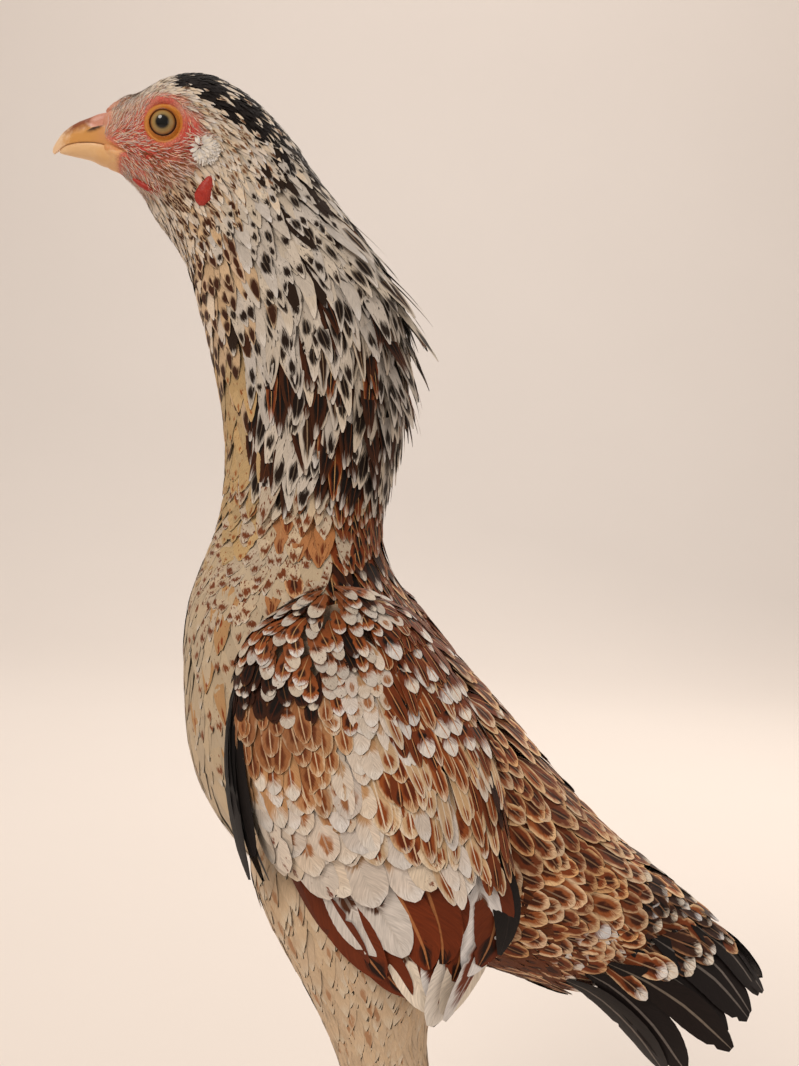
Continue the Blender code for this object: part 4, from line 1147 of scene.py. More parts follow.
faceForms = (
    ((-105, 15, 521.0), (9.5, 6, 2.6), 6, 1.7),  # brow
    ((-121, 12, 509.0), (5.5, 6, 4.5), 0, -1.1),  # hollow before the eye
    ((-108, 15, 499.5), (10, 7, 4.2), -35, 1.3),  # cheek
    ((-116, 13, 503.0), (6, 6, 2.2), -30, 0.7),  # fold behind the mouth
    ((-88, 18, 503.0), (6.5, 6, 4.5), -20, 1.1),  # ear
    ((-122.5, 11, 502.0), (8, 6, 0.7), -23, -1.2),  # the mouth runs on as a fold
    ((-123, 11, 500.2), (7, 6, 1.0), -23, 0.5),  # lower lip
    ((-110, 9, 489.0), (9, 6, 2.4), -32, 1.5),  # dewlap
    ((-112, 11, 494.5), (9, 6, 1.5), -32, -0.7),  # groove above it
    ((-128.5, 6, 515), (3.4, 4, 3.2), 20, 0.7),  # over the nostril
)
blushes = (
    ((-93.5, 509), (6.5, 8.5), 1.0), ((-104, 521), (9, 3.2), 0.8), ((-112.5, 500.5), (8, 4.5), 0.85),
    ((-122, 507), (6, 5), 0.75), ((-92, 503), (8, 5), 0.9), ((-98, 501), (9, 4), 0.5),
    ((-109, 488), (10, 2.2), 0.7), ((-113, 511), (9, 9), 0.6), ((-118, 495), (9, 7), 0.55),
)


def leaned(x, z, middle, reach, slope):
    lean = math.radians(slope)
    along = (x - middle[0]) * math.cos(lean) + (z - middle[-1]) * math.sin(lean)
    up = (z - middle[-1]) * math.cos(lean) - (x - middle[0]) * math.sin(lean)
    return (along / reach[0]) ** 2 + (up / reach[-1]) ** 2


def faceRelief(points):
    x, y, z = points.T / mm
    total = np.zeros(len(points))
    for middle, reach, slope, height in faceForms:
        # the slopes here are rearwards down, as the head hangs
        away = leaned(x, z, middle, reach, slope) + ((np.abs(y) - middle[1]) / reach[1]) ** 2
        total += height * np.exp(-away)
    fromEye = np.hypot(x - eye["middle"][0], z - eye["middle"][2])
    side = np.abs(y) > 9
    ridges = np.cos(fromEye * tau / 1.7 + 2 * softNoise(points, 0.004)) * np.exp(-(((fromEye - 10) / 3) ** 2))
    bare = near(x, z, (-111, 505), (20, 17))
    pitted = 0.14 * softNoise(points, 0.0011) + 0.22 * softNoise(points, 0.0026, 9)
    total += side * 0.16 * ridges + bare * pitted
    socket = side * np.clip((7.6 - fromEye) / 2.2, 0, 1)
    return (total - 5.5 * socket) * mm


def skinPaint(points):
    x, y, z = points.T / mm
    red = np.zeros(len(x))
    for middle, reach, strength in blushes:
        red = np.maximum(red, strength * near(x, z, middle, reach))
    feathered = 1 - np.exp(-(np.hypot((x + 110) / 26, (z - 505) / 24) ** 4))
    horn = ramp(hornEdge(z) - x, -1.2, 1.4) * ramp(520 - z, 0, 2)
    crown = ramp(z + 0.62 * (x + 100), 528, 531) * ramp(x, -101, -98)
    behindWing = ramp(np.abs(y), 24, 30) * ramp(z, 240, 255)
    back = ramp(x, -24, -4) * np.maximum(behindWing, ramp(x + 0.8 * (z - 330), -30, 0))
    zones = (
        ((208, 114, 88), 1.0 + 0 * x), ((196, 180, 158), 6 * feathered), ((36, 26, 22), 40 * crown * (x < -60)),
        ((216, 152, 96), 30 * horn * (z > 502) * (z < 510)), ((230, 180, 126), 30 * horn * (z <= 502)),
        ((206, 142, 118), 30 * horn * (z >= 510)),
        ((196, 176, 140), 9 * ramp(430 - z, 0, 30) * ramp(-20 - x, 0, 20)),
        ((74, 42, 28), 30 * ramp(x + 0.8 * (z - 330), -6, 30) * ramp(405 - z, 0, 25)),
        ((70, 44, 30), 25 * ramp(np.abs(y), 46, 50)),
        ((84, 48, 31), 30 * back),
        ((205, 188, 158), 90 * ramp(245 - z, 0, 15) * ramp(30 - x, 0, 20)),
    )
    weights = np.array([np.broadcast_to(w, len(x)) for _, w in zones])
    colours = np.array([paint(*c) for c, _ in zones])
    mix = (weights[..., None] * colours[:, None]).sum(0) / weights.sum(0)[:, None]
    return mix, red * (1 - 0.75 * feathered) * (1 - horn), (1 - feathered) * (1 - horn)


def unionOf(name, meshes):
    group = bpy.data.collections.new(name)
    pieces = [bpy.data.objects.new(name, mesh) for mesh in meshes]
    home.objects.link(pieces[0])
    for piece in pieces[1:]:
        group.objects.link(piece)
    join = pieces[0].modifiers.new("join", "BOOLEAN")
    join.operation, join.operand_type, join.solver = "UNION", "COLLECTION", "MANIFOLD"
    join.collection = group
    bpy.context.view_layer.update()
    mesh = bpy.data.meshes.new_from_object(pieces[0].evaluated_get(bpy.context.evaluated_depsgraph_get()))
    for piece in pieces:
        bpy.data.objects.remove(piece, do_unlink=True)
    bpy.data.collections.remove(group)
    mesh.name = name
    return mesh


def makeSkinMaterial():
    material, tree, shader = principled(
        "bareSkin", Roughness=0.55, Specular_IOR_Level=0.35, Subsurface_Weight=0.12, Subsurface_Scale=0.002
    )
    place = placeOf(tree)
    blush, bare = attribute(tree, "blush", "Fac"), attribute(tree, "bare", "Fac")
    blotch = noiseOf(tree, place, 420.0, 3.0, 0.6)
    veins = noiseOf(tree, place, 1400.0, 2.0, 0.6)
    strength = maths(tree, "MULTIPLY", blush, maths(tree, "MULTIPLY_ADD", blotch, 1.5, 0.35), clamp=True)
    color = mixed(tree, strength, attribute(tree, "paint", "Color"), paint(204, 50, 42))
    pale = maths(tree, "MULTIPLY", maths(tree, "SUBTRACT", veins, 0.52), 3.2, clamp=True)
    color = mixed(tree, maths(tree, "MULTIPLY", pale, 0.55), color, paint(232, 184, 160))
    bits = add(tree, "TexVoronoi", place, None, 900.0, feature="DISTANCE_TO_EDGE").outputs[0]
    # painted shade: the bare face is darker along the creases between its small bumps
    creaseShade = maths(tree, "MULTIPLY", maths(tree, "SUBTRACT", 0.16, bits), 3.0, clamp=True)
    creaseShade = maths(tree, "MULTIPLY", creaseShade, bare)
    tree.links.new(mixed(tree, creaseShade, color, paint(128, 52, 44)), shader.inputs["Base Color"])
    bump = add(tree, "Bump", 0.5, 0.0003)
    tree.links.new(maths(tree, "ADD", bits, maths(tree, "MULTIPLY", veins, 0.6)), bump.inputs["Height"])
    tree.links.new(bump.outputs[0], shader.inputs["Normal"])
    return material


bareSkin = makeSkinMaterial()


def makeSkin():
    def placed(t, turn):
        points = surface(bodyForm, t, turn)
        up = slopes(bodyForm, t, turn)[2]
        lift = -bodyDepth(t) + np.where(t < 5.5, faceRelief(points), 0)
        lift = lift - 1.4 * mm * np.clip(1 - t / 0.45, 0, 1) ** 2  # it tucks in round the beak
        return points + up * lift[:, None]

    def sunk(form, depth, far=0.0):
        def at(t, turn):
            sink = depth + far * (t / form["last"]) ** 2
            return surface(form, t, turn) - slopes(form, t, turn)[2] * sink[:, None]
        return at

    rows = np.concatenate([np.linspace(0, 0.3, 8)[:-1], np.linspace(0.3, 4.6, 190), np.linspace(4.7, 19, 90)])
    body = meshFrom(tubeOf(rows, 260, placed), "body")
    parts = [body]
    for side in (False, True):
        wing = tubeOf(np.linspace(0.15, 5.4, 40), 64, sunk(wingForm, 0.0036, 0.004))
        thigh = tubeOf(np.linspace(0, 6, 50), 72, sunk(thighForm, 0.003, -0.003))
        parts += [meshFrom(wing, "wing", side), meshFrom(thigh, "thigh", side)]
    parts.append(meshFrom(tubeOf(np.linspace(0.02, 2.3, 16), 64, sunk(tailForm, 0.0068, 0.012)), "tail"))
    mesh = unionOf("skin", parts)
    mesh.shade_smooth()
    under, blush, bare = skinPaint(pointsOf(mesh))
    paintOn(mesh, "paint", under)
    paintOn(mesh, "blush", blush)
    paintOn(mesh, "bare", bare)
    pieceOf(
        "skin", mesh, bareSkin, "face_skin", "head", "neck", "torso", "tail",
        "wing_left", "wing_right", "thigh_left", "thigh_right",
    )
    print("skin", len(mesh.polygons), "faces")


# Eyes with a painted iris under a clear coat, and lids as a ring of folds round each.

eyeLook = {"cornea": 0.45}
lidLook = {"open": (4.95, 4.85), "out": 9.4, "fold": 0.22}


def makeEyeMaterial():
    material, tree, shader = principled(
        "eyeball", Roughness=0.4, Specular_IOR_Level=0.1, Coat_Weight=1.0, Coat_Roughness=0.02, Coat_IOR=1.42
    )
    away = attribute(tree, "away", "Fac")
    ray = attribute(tree, "ray", "Fac")
    streaks = noiseOf(tree, spread(tree, maths(tree, "MULTIPLY", ray, 26.0), away), 1.0, 3.0, 0.7)
    ramped = add(tree, "ValToRGB", maths(tree, "MULTIPLY", away, 1 / 6))
    stops = ramped.color_ramp
    stops.elements[0].position, stops.elements[0].color = 0.0, paint(9, 9, 10)
    stops.elements[1].position, stops.elements[1].color = 1.0, paint(70, 38, 20)
    for place, colour in (
        (2.05, (8, 7, 8)), (2.3, (72, 58, 36)), (2.9, (146, 122, 76)), (3.8, (160, 124, 70)),
        (4.35, (140, 92, 38)), (4.6, (76, 42, 16)), (4.9, (34, 18, 10)),
    ):
        stops.elements.new(place / 6).color = paint(*colour)
    shade = maths(tree, "MULTIPLY_ADD", streaks, 0.7, 0.65)
    tone = add(tree, "CombineXYZ", shade, shade, shade).outputs[0]
    tree.links.new(mixed(tree, 1.0, ramped.outputs[0], tone, "MULTIPLY"), shader.inputs["Base Color"])
    return material


def makeLidMaterial():
    material, tree, shader = principled(
        "lidSkin", Roughness=0.45, Specular_IOR_Level=0.4, Subsurface_Weight=0.1, Subsurface_Scale=0.001
    )
    place = placeOf(tree)
    ring = attribute(tree, "ring", "Fac")
    grain = noiseOf(tree, place, 1600.0, 3.0, 0.6)
    ramped = add(tree, "ValToRGB", maths(tree, "MULTIPLY_ADD", maths(tree, "SUBTRACT", grain, 0.5), 0.22, ring))
    stops = ramped.color_ramp
    stops.elements[0].position, stops.elements[0].color = 0.0, paint(74, 40, 22)
    stops.elements[1].position, stops.elements[1].color = 1.0, paint(196, 92, 74)
    for at, colour in (
        (0.08, (120, 62, 24)), (0.2, (182, 112, 46)), (0.36, (202, 136, 58)),
        (0.56, (198, 122, 60)), (0.8, (196, 104, 76))
    ):
        stops.elements.new(at).color = paint(*colour)
    tree.links.new(ramped.outputs[0], shader.inputs["Base Color"])
    bump = add(tree, "Bump", 0.5, 0.0002)
    tree.links.new(grain, bump.inputs["Height"])
    tree.links.new(bump.outputs[0], shader.inputs["Normal"])
    return material


eyeball, lidSkin = makeEyeMaterial(), makeLidMaterial()


def skinSide(x, z):
    # how far out the head's left side stands at places of the side view
    t, turn = [k.ravel() for k in np.meshgrid(np.linspace(0.3, 5, 160), np.linspace(0.02, 0.48, 120))]
    points = surface(bodyForm, t, turn)
    flat = points[:, [0, 2]]
    found = []
    for place in zip(x, z):
        away = ((flat - place) ** 2).sum(1)
        nearest = np.argsort(away)[:6]
        share = 1 / (away[nearest] + 1e-9)
        found.append((points[nearest, 1] * share).sum() / share.sum())
    return -np.array(found)


def makeEye(side):
    middle, radius = np.array(eye["middle"]) * mm, eye["radius"] * mm
    bm = bmesh.new()
    bmesh.ops.create_uvsphere(bm, u_segments=64, v_segments=48, radius=radius)
    bmesh.ops.rotate(bm, cent=(0, 0, 0), matrix=Matrix.Rotation(math.radians(90), 3, "X"), verts=bm.verts)
    away, ray = [], []
    for v in bm.verts:
        r = math.hypot(v.co.x, v.co.z)
        bulge = eyeLook["cornea"] * mm * max(1 - (r / (5 * mm)) ** 2, 0)
        v.co *= 1 + (bulge / radius if v.co.y < 0 else 0)
        away.append(r / mm if v.co.y < 0 else 6)
        ray.append(abs(math.atan2(v.co.z, v.co.x)))
    bmesh.ops.translate(bm, vec=middle, verts=bm.verts)
    mesh = meshFrom(bm, f"eye_{side}", side == "right")
    paintOn(mesh, "away", away)
    paintOn(mesh, "ray", ray)
    pieceOf(f"eyeball_{side}", mesh, eyeball, "eye", f"eye_{side}")

    steps, around = 30, 120
    bm = bmesh.new()
    bmesh.ops.create_grid(bm, x_segments=around, y_segments=steps, size=0.5)
    grid = np.array([v.co for v in bm.verts])
    angle, out = (grid[:, 0] + 0.5) * tau, grid[:, 1] + 0.5
    inner = np.hypot(lidLook["open"][0] * np.cos(angle), lidLook["open"][1] * np.sin(angle))
    drop = 0.45 * np.clip(np.sin(angle), 0, 1)  # the upper lid comes a little lower
    inner = inner - drop
    r = inner + (lidLook["out"] - inner) * out
    x, z = eye["middle"][0] + r * np.cos(angle), eye["middle"][2] + r * np.sin(angle)
    ball = np.sqrt(np.clip(eye["radius"] ** 2 - r**2, 0, None)) - eye["middle"][1]
    skin = skinSide(x * mm, z * mm) / mm - 0.5
    rim = 0.55 * np.exp(-(((r - inner - 0.7) / 0.75) ** 2)) + 0.35 * np.exp(-(((r - inner - 2.2) / 0.55) ** 2))
    share = np.clip((r - 6.0) / 2.4, 0, 1)
    share = share * share * (3 - 2 * share)
    base = np.where(r < 6.4, np.maximum(ball, np.sqrt(eye["radius"] ** 2 - 6.4**2) - eye["middle"][1]), 0)
    base = np.maximum(base, -eye["middle"][1] + 3.7)
    y = base * (1 - share) + skin * share + 0.12 + rim
    fade = np.exp(-(((out - 0.6) / 0.4) ** 2))
    y += lidLook["fold"] * softNoise(np.stack([angle * 3.2, out * 5, 0 * r], 1), 0.32) * fade
    y -= 1.6 * np.clip(1 - out * 12, 0, 1)  # the lip turns in over the eye
    for v, point in zip(bm.verts, np.stack([x, -y, z], 1) * mm):
        v.co = point
    bmesh.ops.remove_doubles(bm, verts=bm.verts, dist=1e-6)
    bmesh.ops.recalc_face_normals(bm, faces=bm.faces)
    if sum(f.normal.y for f in bm.faces) > 0:
        bmesh.ops.reverse_faces(bm, faces=bm.faces)
    mesh = meshFrom(bm, f"lids_{side}", side == "right")
    points = pointsOf(mesh) / mm
    fromEye = np.hypot(points[:, 0] - eye["middle"][0], points[:, 2] - eye["middle"][2])
    paintOn(mesh, "ring", np.clip((fromEye - 4.6) / (lidLook["out"] - 4.6), 0, 1))
    pieceOf(f"lids_{side}", mesh, lidSkin, "face_skin", "head")


# Comb, dewlap and ear lobes: red skin in low, knobbly folds.

redFlesh = {
    "comb": {"middle": (-124.4, 0, 520.6), "radii": (6.0, 3.0, 1.7), "slope": 27, "knob": 1.9, "high": 0.55},
    "dewlap": {"middle": (-109.2, -10.4, 487.6), "radii": (8.6, 2.0, 1.3), "slope": -27, "knob": 2.4, "high": 0.25},
    "lobe": {
        "middle": (-87.2, -19.2, 488.0), "radii": (3.0, 2.2, 6.4), "slope": -20, "knob": 3.0, "high": 0.15,
        "taper": 0.42,
    },
}


def makeRedMaterial(name, deep, bright):
    material, tree, shader = principled(
        name, Roughness=0.42, Specular_IOR_Level=0.45, Subsurface_Weight=0.15, Subsurface_Scale=0.002
    )
    place = placeOf(tree)
    blotch, fine = noiseOf(tree, place, 500.0, 3.0, 0.6), noiseOf(tree, place, 2200.0, 2.0)
    color = mixed(tree, blotch, paint(*deep), paint(*bright))
    pale = maths(tree, "MULTIPLY", maths(tree, "SUBTRACT", fine, 0.58), 4.0, clamp=True)
    color = mixed(tree, maths(tree, "MULTIPLY", pale, 0.4), color, paint(226, 130, 112))
    tree.links.new(color, shader.inputs["Base Color"])
    bump = add(tree, "Bump", 0.6, 0.0003)
    tree.links.new(fine, bump.inputs["Height"])
    tree.links.new(bump.outputs[0], shader.inputs["Normal"])
    return material


redSkin = makeRedMaterial("redSkin", (140, 24, 18), (190, 58, 42))
pinkSkin = makeRedMaterial("pinkSkin", (190, 122, 98), (214, 160, 134))


def makeFlesh(name, look, material, slot, nodes, mirrored=False):
    bm = bmesh.new()
    bmesh.ops.create_uvsphere(bm, u_segments=64, v_segments=40, radius=1)
    points = np.array([v.co for v in bm.verts])
    solid = points * np.array(look["radii"])
    solid[:, 0] *= 1 - look.get("taper", 0) * points[:, 2]
    knobs = np.abs(softNoise(solid * mm, look["knob"] * mm, 3.0))
    solid = solid + points * (look["high"] * (1 - 2.2 * knobs) + 0.12 * softNoise(solid * mm, 0.0007))[:, None]
    for v, point in zip(bm.verts, solid * mm):
        v.co = point
    lean = Matrix.Rotation(math.radians(-look["slope"]), 3, "Y")
    bmesh.ops.rotate(bm, cent=(0, 0, 0), matrix=lean, verts=bm.verts)
    bmesh.ops.translate(bm, vec=Vector(look["middle"]) * mm, verts=bm.verts)
    pieceOf(name, meshFrom(bm, name, mirrored), material, slot, *nodes)


# Beak: two horn sheaths, rusty on the ridge, yellow on the sides and pale at the tip.

beakUpperRows = (
    (-124.5, 503.6, -123.4, 518.6, 9.4), (-130.8, 504.8, -131.4, 517.2, 7.4),
    (-134.5, 505.2, -135.8, 515.4, 6.4), (-139.5, 505, -141.5, 512.8, 5),
    (-144.5, 504, -146.6, 508.8, 3.2), (-148.2, 501.8, -150, 503.6, 1.3), (-149.7, 500.4, -150.5, 500.9, 0.5),
)
beakLowerRows = (
    (-123.6, 495.6, -124.2, 503.4, 8.8), (-130.4, 496.8, -130.8, 504.7, 6.8),
    (-135, 498.6, -135.2, 505, 5.6), (-140.5, 499.6, -140.5, 504.8, 4.1),
    (-145.5, 500.4, -145.4, 503.6, 2.2), (-147.6, 501, -147.4, 502.3, 1),
)
beakLook = {"nostril": (-132.9, 510.2), "slit": (3.3, 0.62), "slope": 20, "hood": (-132.4, 514.2)}


def makeHornMaterial(name, colours, roughness):
    # colours: at the root, along the sides, on the ridge and at the tip
    material, tree, shader = principled(name, Roughness=roughness, Specular_IOR_Level=0.5)
    place = placeOf(tree)
    along, ridge, pit, flesh = (attribute(tree, layer, "Fac") for layer in ("along", "ridge", "pit", "flesh"))
    grain = noiseOf(tree, place, 500.0, 4.0, 0.6)
    loose = maths(tree, "MULTIPLY", maths(tree, "SUBTRACT", grain, 0.5), 0.5)
    root, sides, top, tip = (paint(*c) for c in colours)
    outward = maths(tree, "ADD", along, loose)
    back = maths(tree, "SUBTRACT", 1.0, maths(tree, "MULTIPLY", outward, 3.4, clamp=True))
    color = mixed(tree, back, sides, root)
    crest = above(tree, maths(tree, "ADD", ridge, loose), 0.3, 2.2)
    color = mixed(tree, crest, color, top)
    end = above(tree, outward, 0.62, 4.0)
    color = mixed(tree, end, color, tip)
    rosy = mixed(tree, grain, paint(196, 124, 104), paint(220, 164, 144))
    color = mixed(tree, maths(tree, "MULTIPLY", flesh, 0.9), color, rosy)
    # painted shade: the nostril slit is painted nearly black to stand for its dark opening
    color = mixed(tree, pit, color, paint(34, 18, 14))
    tree.links.new(color, shader.inputs["Base Color"])
    waves = spread(tree, maths(tree, "MULTIPLY", along, 16.0), maths(tree, "MULTIPLY", ridge, 1.2))
    lines = noiseOf(tree, waves, 3.0, 3.0, 0.6)
    bump = add(tree, "Bump", 0.35, 0.0003)
    tree.links.new(lines, bump.inputs["Height"])
    tree.links.new(bump.outputs[0], shader.inputs["Normal"])
    return material


beakHorn = makeHornMaterial("beakHorn", ((208, 146, 92), (212, 152, 84), (138, 74, 42), (238, 200, 160)), 0.38)
beakPale = makeHornMaterial("beakPale", ((226, 176, 120), (230, 186, 136), (228, 172, 104), (236, 196, 150)), 0.4)


def makeBeak():
    upper, lower = formOf(beakUpperRows, flat=(-0.35, 1)), formOf(beakLowerRows, flat=(-1, 0.35))

    def upperAt(t, turn):
        points, up = surface(upper, t, turn), slopes(upper, t, turn)[2]
        x, y, z = points.T / mm
        slit = leaned(x, z, beakLook["nostril"], beakLook["slit"], beakLook["slope"])
        hood = leaned(x, z, beakLook["hood"], (4.4, 3.1), 25)
        side = ramp(np.abs(y), 1.5, 3.5)
        lift = 1.9 * np.exp(-(hood**2)) * side - 1.5 * np.exp(-(slit**1.5)) * side
        sideGroove = np.exp(-((np.cos(turn * tau) + 0.32) / 0.1) ** 2)
        lift = lift + 0.07 * softNoise(np.stack([x, 3 * y, 3 * z], 1), 2.2) - 0.15 * sideGroove
        return points + up * (lift * mm)[:, None]

    def lowerAt(t, turn):
        points, up = surface(lower, t, turn), slopes(lower, t, turn)[2]
        return points + up * (0.06 * softNoise(points * (1, 3, 3), 0.0022) * mm)[:, None]

    halves = ("upper", upper, upperAt, beakHorn), ("lower", lower, lowerAt, beakPale)
    for name, form, placed, material in halves:
        rows = np.concatenate([np.linspace(0, 4, 70), np.linspace(4, form["last"], 34)[1:]])
        mesh = meshFrom(tubeOf(rows, 96, placed), f"beak_{name}")
        mesh.set_sharp_from_angle(angle=math.radians(60))
        x, y, z = pointsOf(mesh).T / mm
        paintOn(mesh, "along", np.clip((-129 - x) / 21, 0, 1))
        crown = np.interp(x, (-151, -146.6, -141.5, -131), (500.8, 508.8, 512.8, 517.2))
        paintOn(mesh, "ridge", np.clip(1 - (crown - z) / np.interp(x, (-150, -142, -131), (2.5, 7, 9)), 0, 1))
        slit = leaned(x, z, beakLook["nostril"], beakLook["slit"], beakLook["slope"])
        # painted shade in the nostril slit of the upper half
        paintOn(mesh, "pit", np.exp(-(slit**2)) * (np.abs(y) > 2.5) * (name == "upper"))
        hood = leaned(x, z, (beakLook["hood"][0] + 1.5, beakLook["hood"][1] + 0.3), (5.2, 3.3), 25)
        flesh = np.maximum(ramp(hood, 1.25, 0.8), ramp(z - 0.3 * (x + 130), 514, 518) * ramp(x, -137, -134))
        paintOn(mesh, "flesh", flesh * (name == "upper"))
        pieceOf(f"beak_{name}_horn", mesh, material, "beak_horn", f"beak_{name}")


# Legs: two rows of scutes down the shank, one over each toe, and small scales elsewhere.

ankle = np.array((-8, -37, 0)) * mm
toes = {  # heading, length, where it leaves the pad, width, height, pads and claw
    "middle": (4, 57, 19, 9.2, 8.6, 3, 12), "inner": (-34, 40, 18, 8.6, 8.0, 2, 11),
    "outer": (41, 47, 18, 8.2, 7.8, 3, 10), "rear": (172, 27, 14, 7.4, 7.0, 1, 9.5),
}
scutes = {"shank": (5.4, 0.55), "toe": (3.0, 0.4), "scale": 2.0, "scaleHigh": 0.28}
shankForm = formOf((
    (-4, 128, 19, 127.5, 9.5), (-4.5, 117, 17.5, 116.5, 8.2), (-4.5, 102, 11, 102, 6.3), (-7.5, 74, 7, 74.5, 5.8),
    (-11.5, 42, 3.5, 42.5, 6.2), (-15.5, 22, 1.5, 23, 7.6), (-17.5, 14, 2.5, 14.6, 9),
), y=-37)
padForm = formOf((
    (-17.5, 14, 2.5, 14.6, 9), (-20, 8.5, 4, 8.8, 10.5), (-20, 3, 3.5, 3, 10.6), (-18, 0, 1.5, 0, 9.2),
), y=-37)


def toeForm(toe):
    heading, length, leaves, wide, high, pads, claw = toe
    lean = math.radians(180 + heading)
    ahead = np.array((math.cos(lean), math.sin(lean), 0))
    reach = np.linspace(0, 1, 9)[:, None]
    pad, thin = 1 + 0.1 * np.cos(reach * pads * tau), 1 - 0.42 * reach
    floor = ankle + ahead * reach * length * mm
    return {
        "front": floor, "rear": floor + np.array((0, 0, 1)) * high * mm * thin * (0.6 + 0.4 * pad),
        "half": wide / 2 * mm * thin * pad, "egg": np.full((9, 1), -0.12), "last": 8,
        "across": np.array((ahead[1], -ahead[0], 0)), "flat": (-0.72, 1), "ahead": ahead,
    }


def clawForm(toe):
    root = toeForm(toe)
    ahead, claw = root["ahead"], toe[6] * mm
    share = np.linspace(0, 1, 6)[:, None]
    high = (root["rear"][-1] - root["front"][-1])[2] * 0.8
    middle = root["front"][-1] * 0.4 + root["rear"][-1] * 0.6 - ahead * 0.4 * mm
    size = 1 - 0.93 * share**1.3
    here = middle + ahead * claw * share - np.array((0, 0, 1)) * high * 0.62 * share**1.8
    bend = math.radians(40) * share
    up = (np.array((0, 0, 1)) * np.cos(bend) + ahead * np.sin(bend)) * high / 2 * size
    return {
        "front": here - up, "rear": here + up, "half": root["half"][-1] * 0.62 * size, "egg": np.zeros((6, 1)),
        "last": 5, "across": root["across"], "flat": (-1, 1),
    }


def girthOf(form, t):
    deep = np.linalg.norm(eased(form["rear"], t) - eased(form["front"], t), axis=1) / 2
    return tau * np.sqrt((deep**2 + eased(form["half"], t)[:, 0] ** 2) / 2) / mm


def lengthsOf(form, t):
    # millimetres down the middle of a form to each t
    table = np.linspace(-0.2, form["last"] + 0.2, 60)
    middle = (surface(form, table, 0 * table) + surface(form, table, 0 * table + 0.5)) / 2
    run = np.concatenate([[0], np.cumsum(np.linalg.norm(np.diff(middle, axis=0), axis=1))]) / mm
    return np.interp(t, table, run)


def scuteRelief(down, across, step, high, rows):
    # overlapping plates: down grows towards the toes, across runs from -1 to 1 over the band
    lane = np.floor((across + 1) / 2 * rows).clip(0, rows - 1)
    inLane = ((across + 1) / 2 * rows - lane) * 2 - 1
    shifted = down / step + lane * 0.5 - 0.22 * inLane**2
    part = shifted - np.floor(shifted)
    plate = 0.35 + 0.65 * part**0.7
    lip = np.clip((1 - part) / 0.1, 0, 1) * np.clip(part / 0.06, 0.25, 1)
    edge = np.clip((1 - np.abs(inLane)) / 0.16, 0, 1)
    return plate * lip * edge * high, np.minimum(lip, edge)


def legSurface(form, band, centre, step, high, rows):
    def at(t, turn):
        points, up = surface(form, t, turn), slopes(form, t, turn)[2]
        girth, down = girthOf(form, t), lengthsOf(form, t)
        fromCentre = ((turn - centre + 0.5) % 1) - 0.5
        inBand = np.clip((band - np.abs(fromCentre)) / 0.03, 0, 1)
        plates, _ = scuteRelief(down, np.clip(fromCentre / band, -1, 1), step, high, rows)
        honey = cells(fromCentre * girth.mean(), down, scutes["scale"])
        grown = plates * inBand + scutes["scaleHigh"] * np.sqrt(honey) * (1 - inBand)
        flatUnder = points[:, 2] < 0.6 * mm
        grown = np.where(flatUnder, 0, grown - 0.25)
        return points + up * (grown * mm)[:, None]
    return at


def legPaint(form, band, centre, step, high, rows, t, turn):
    girth, down = girthOf(form, t), lengthsOf(form, t)
    fromCentre = ((turn - centre + 0.5) % 1) - 0.5
    inBand = np.clip((band - np.abs(fromCentre)) / 0.03, 0, 1)
    _, lip = scuteRelief(down, np.clip(fromCentre / band, -1, 1), step, high, rows)
    honey = cells(fromCentre * girth.mean(), down, scutes["scale"])
    # the first value falls in the seams between plates and scales, where the scale material paints shade
    return lip * inBand + np.clip(honey * 2.2, 0, 1) * (1 - inBand), inBand


def makeScaleMaterial():
    material, tree, shader = principled("legScale", Roughness=0.46, Specular_IOR_Level=0.45)
    place = placeOf(tree)
    plate, band = attribute(tree, "plate", "Fac"), attribute(tree, "band", "Fac")
    patch, fine = noiseOf(tree, place, 90.0, 3.0, 0.6), noiseOf(tree, place, 900.0, 3.0, 0.6)
    color = mixed(tree, patch, paint(206, 170, 108), paint(228, 200, 148))
    color = mixed(tree, maths(tree, "MULTIPLY", band, 0.35), color, paint(232, 212, 170))
    dust = maths(tree, "MULTIPLY", maths(tree, "SUBTRACT", fine, 0.5), 1.6, clamp=True)
    color = mixed(tree, maths(tree, "MULTIPLY", dust, 0.5), color, paint(178, 146, 106))
    # painted shade: darker colour in the seams between the plates and scales
    seamShade = maths(tree, "SUBTRACT", 1.0, plate, clamp=True)
    color = mixed(tree, maths(tree, "MULTIPLY", seamShade, 0.8), color, paint(132, 92, 54))
    tree.links.new(color, shader.inputs["Base Color"])
    bump = add(tree, "Bump", 0.35, 0.0003)
    tree.links.new(fine, bump.inputs["Height"])
    tree.links.new(bump.outputs[0], shader.inputs["Normal"])
    return material


legScale = makeScaleMaterial()
clawHorn = makeHornMaterial("clawHorn", ((196, 164, 118), (176, 146, 108), (150, 118, 82), (112, 88, 66)), 0.4)


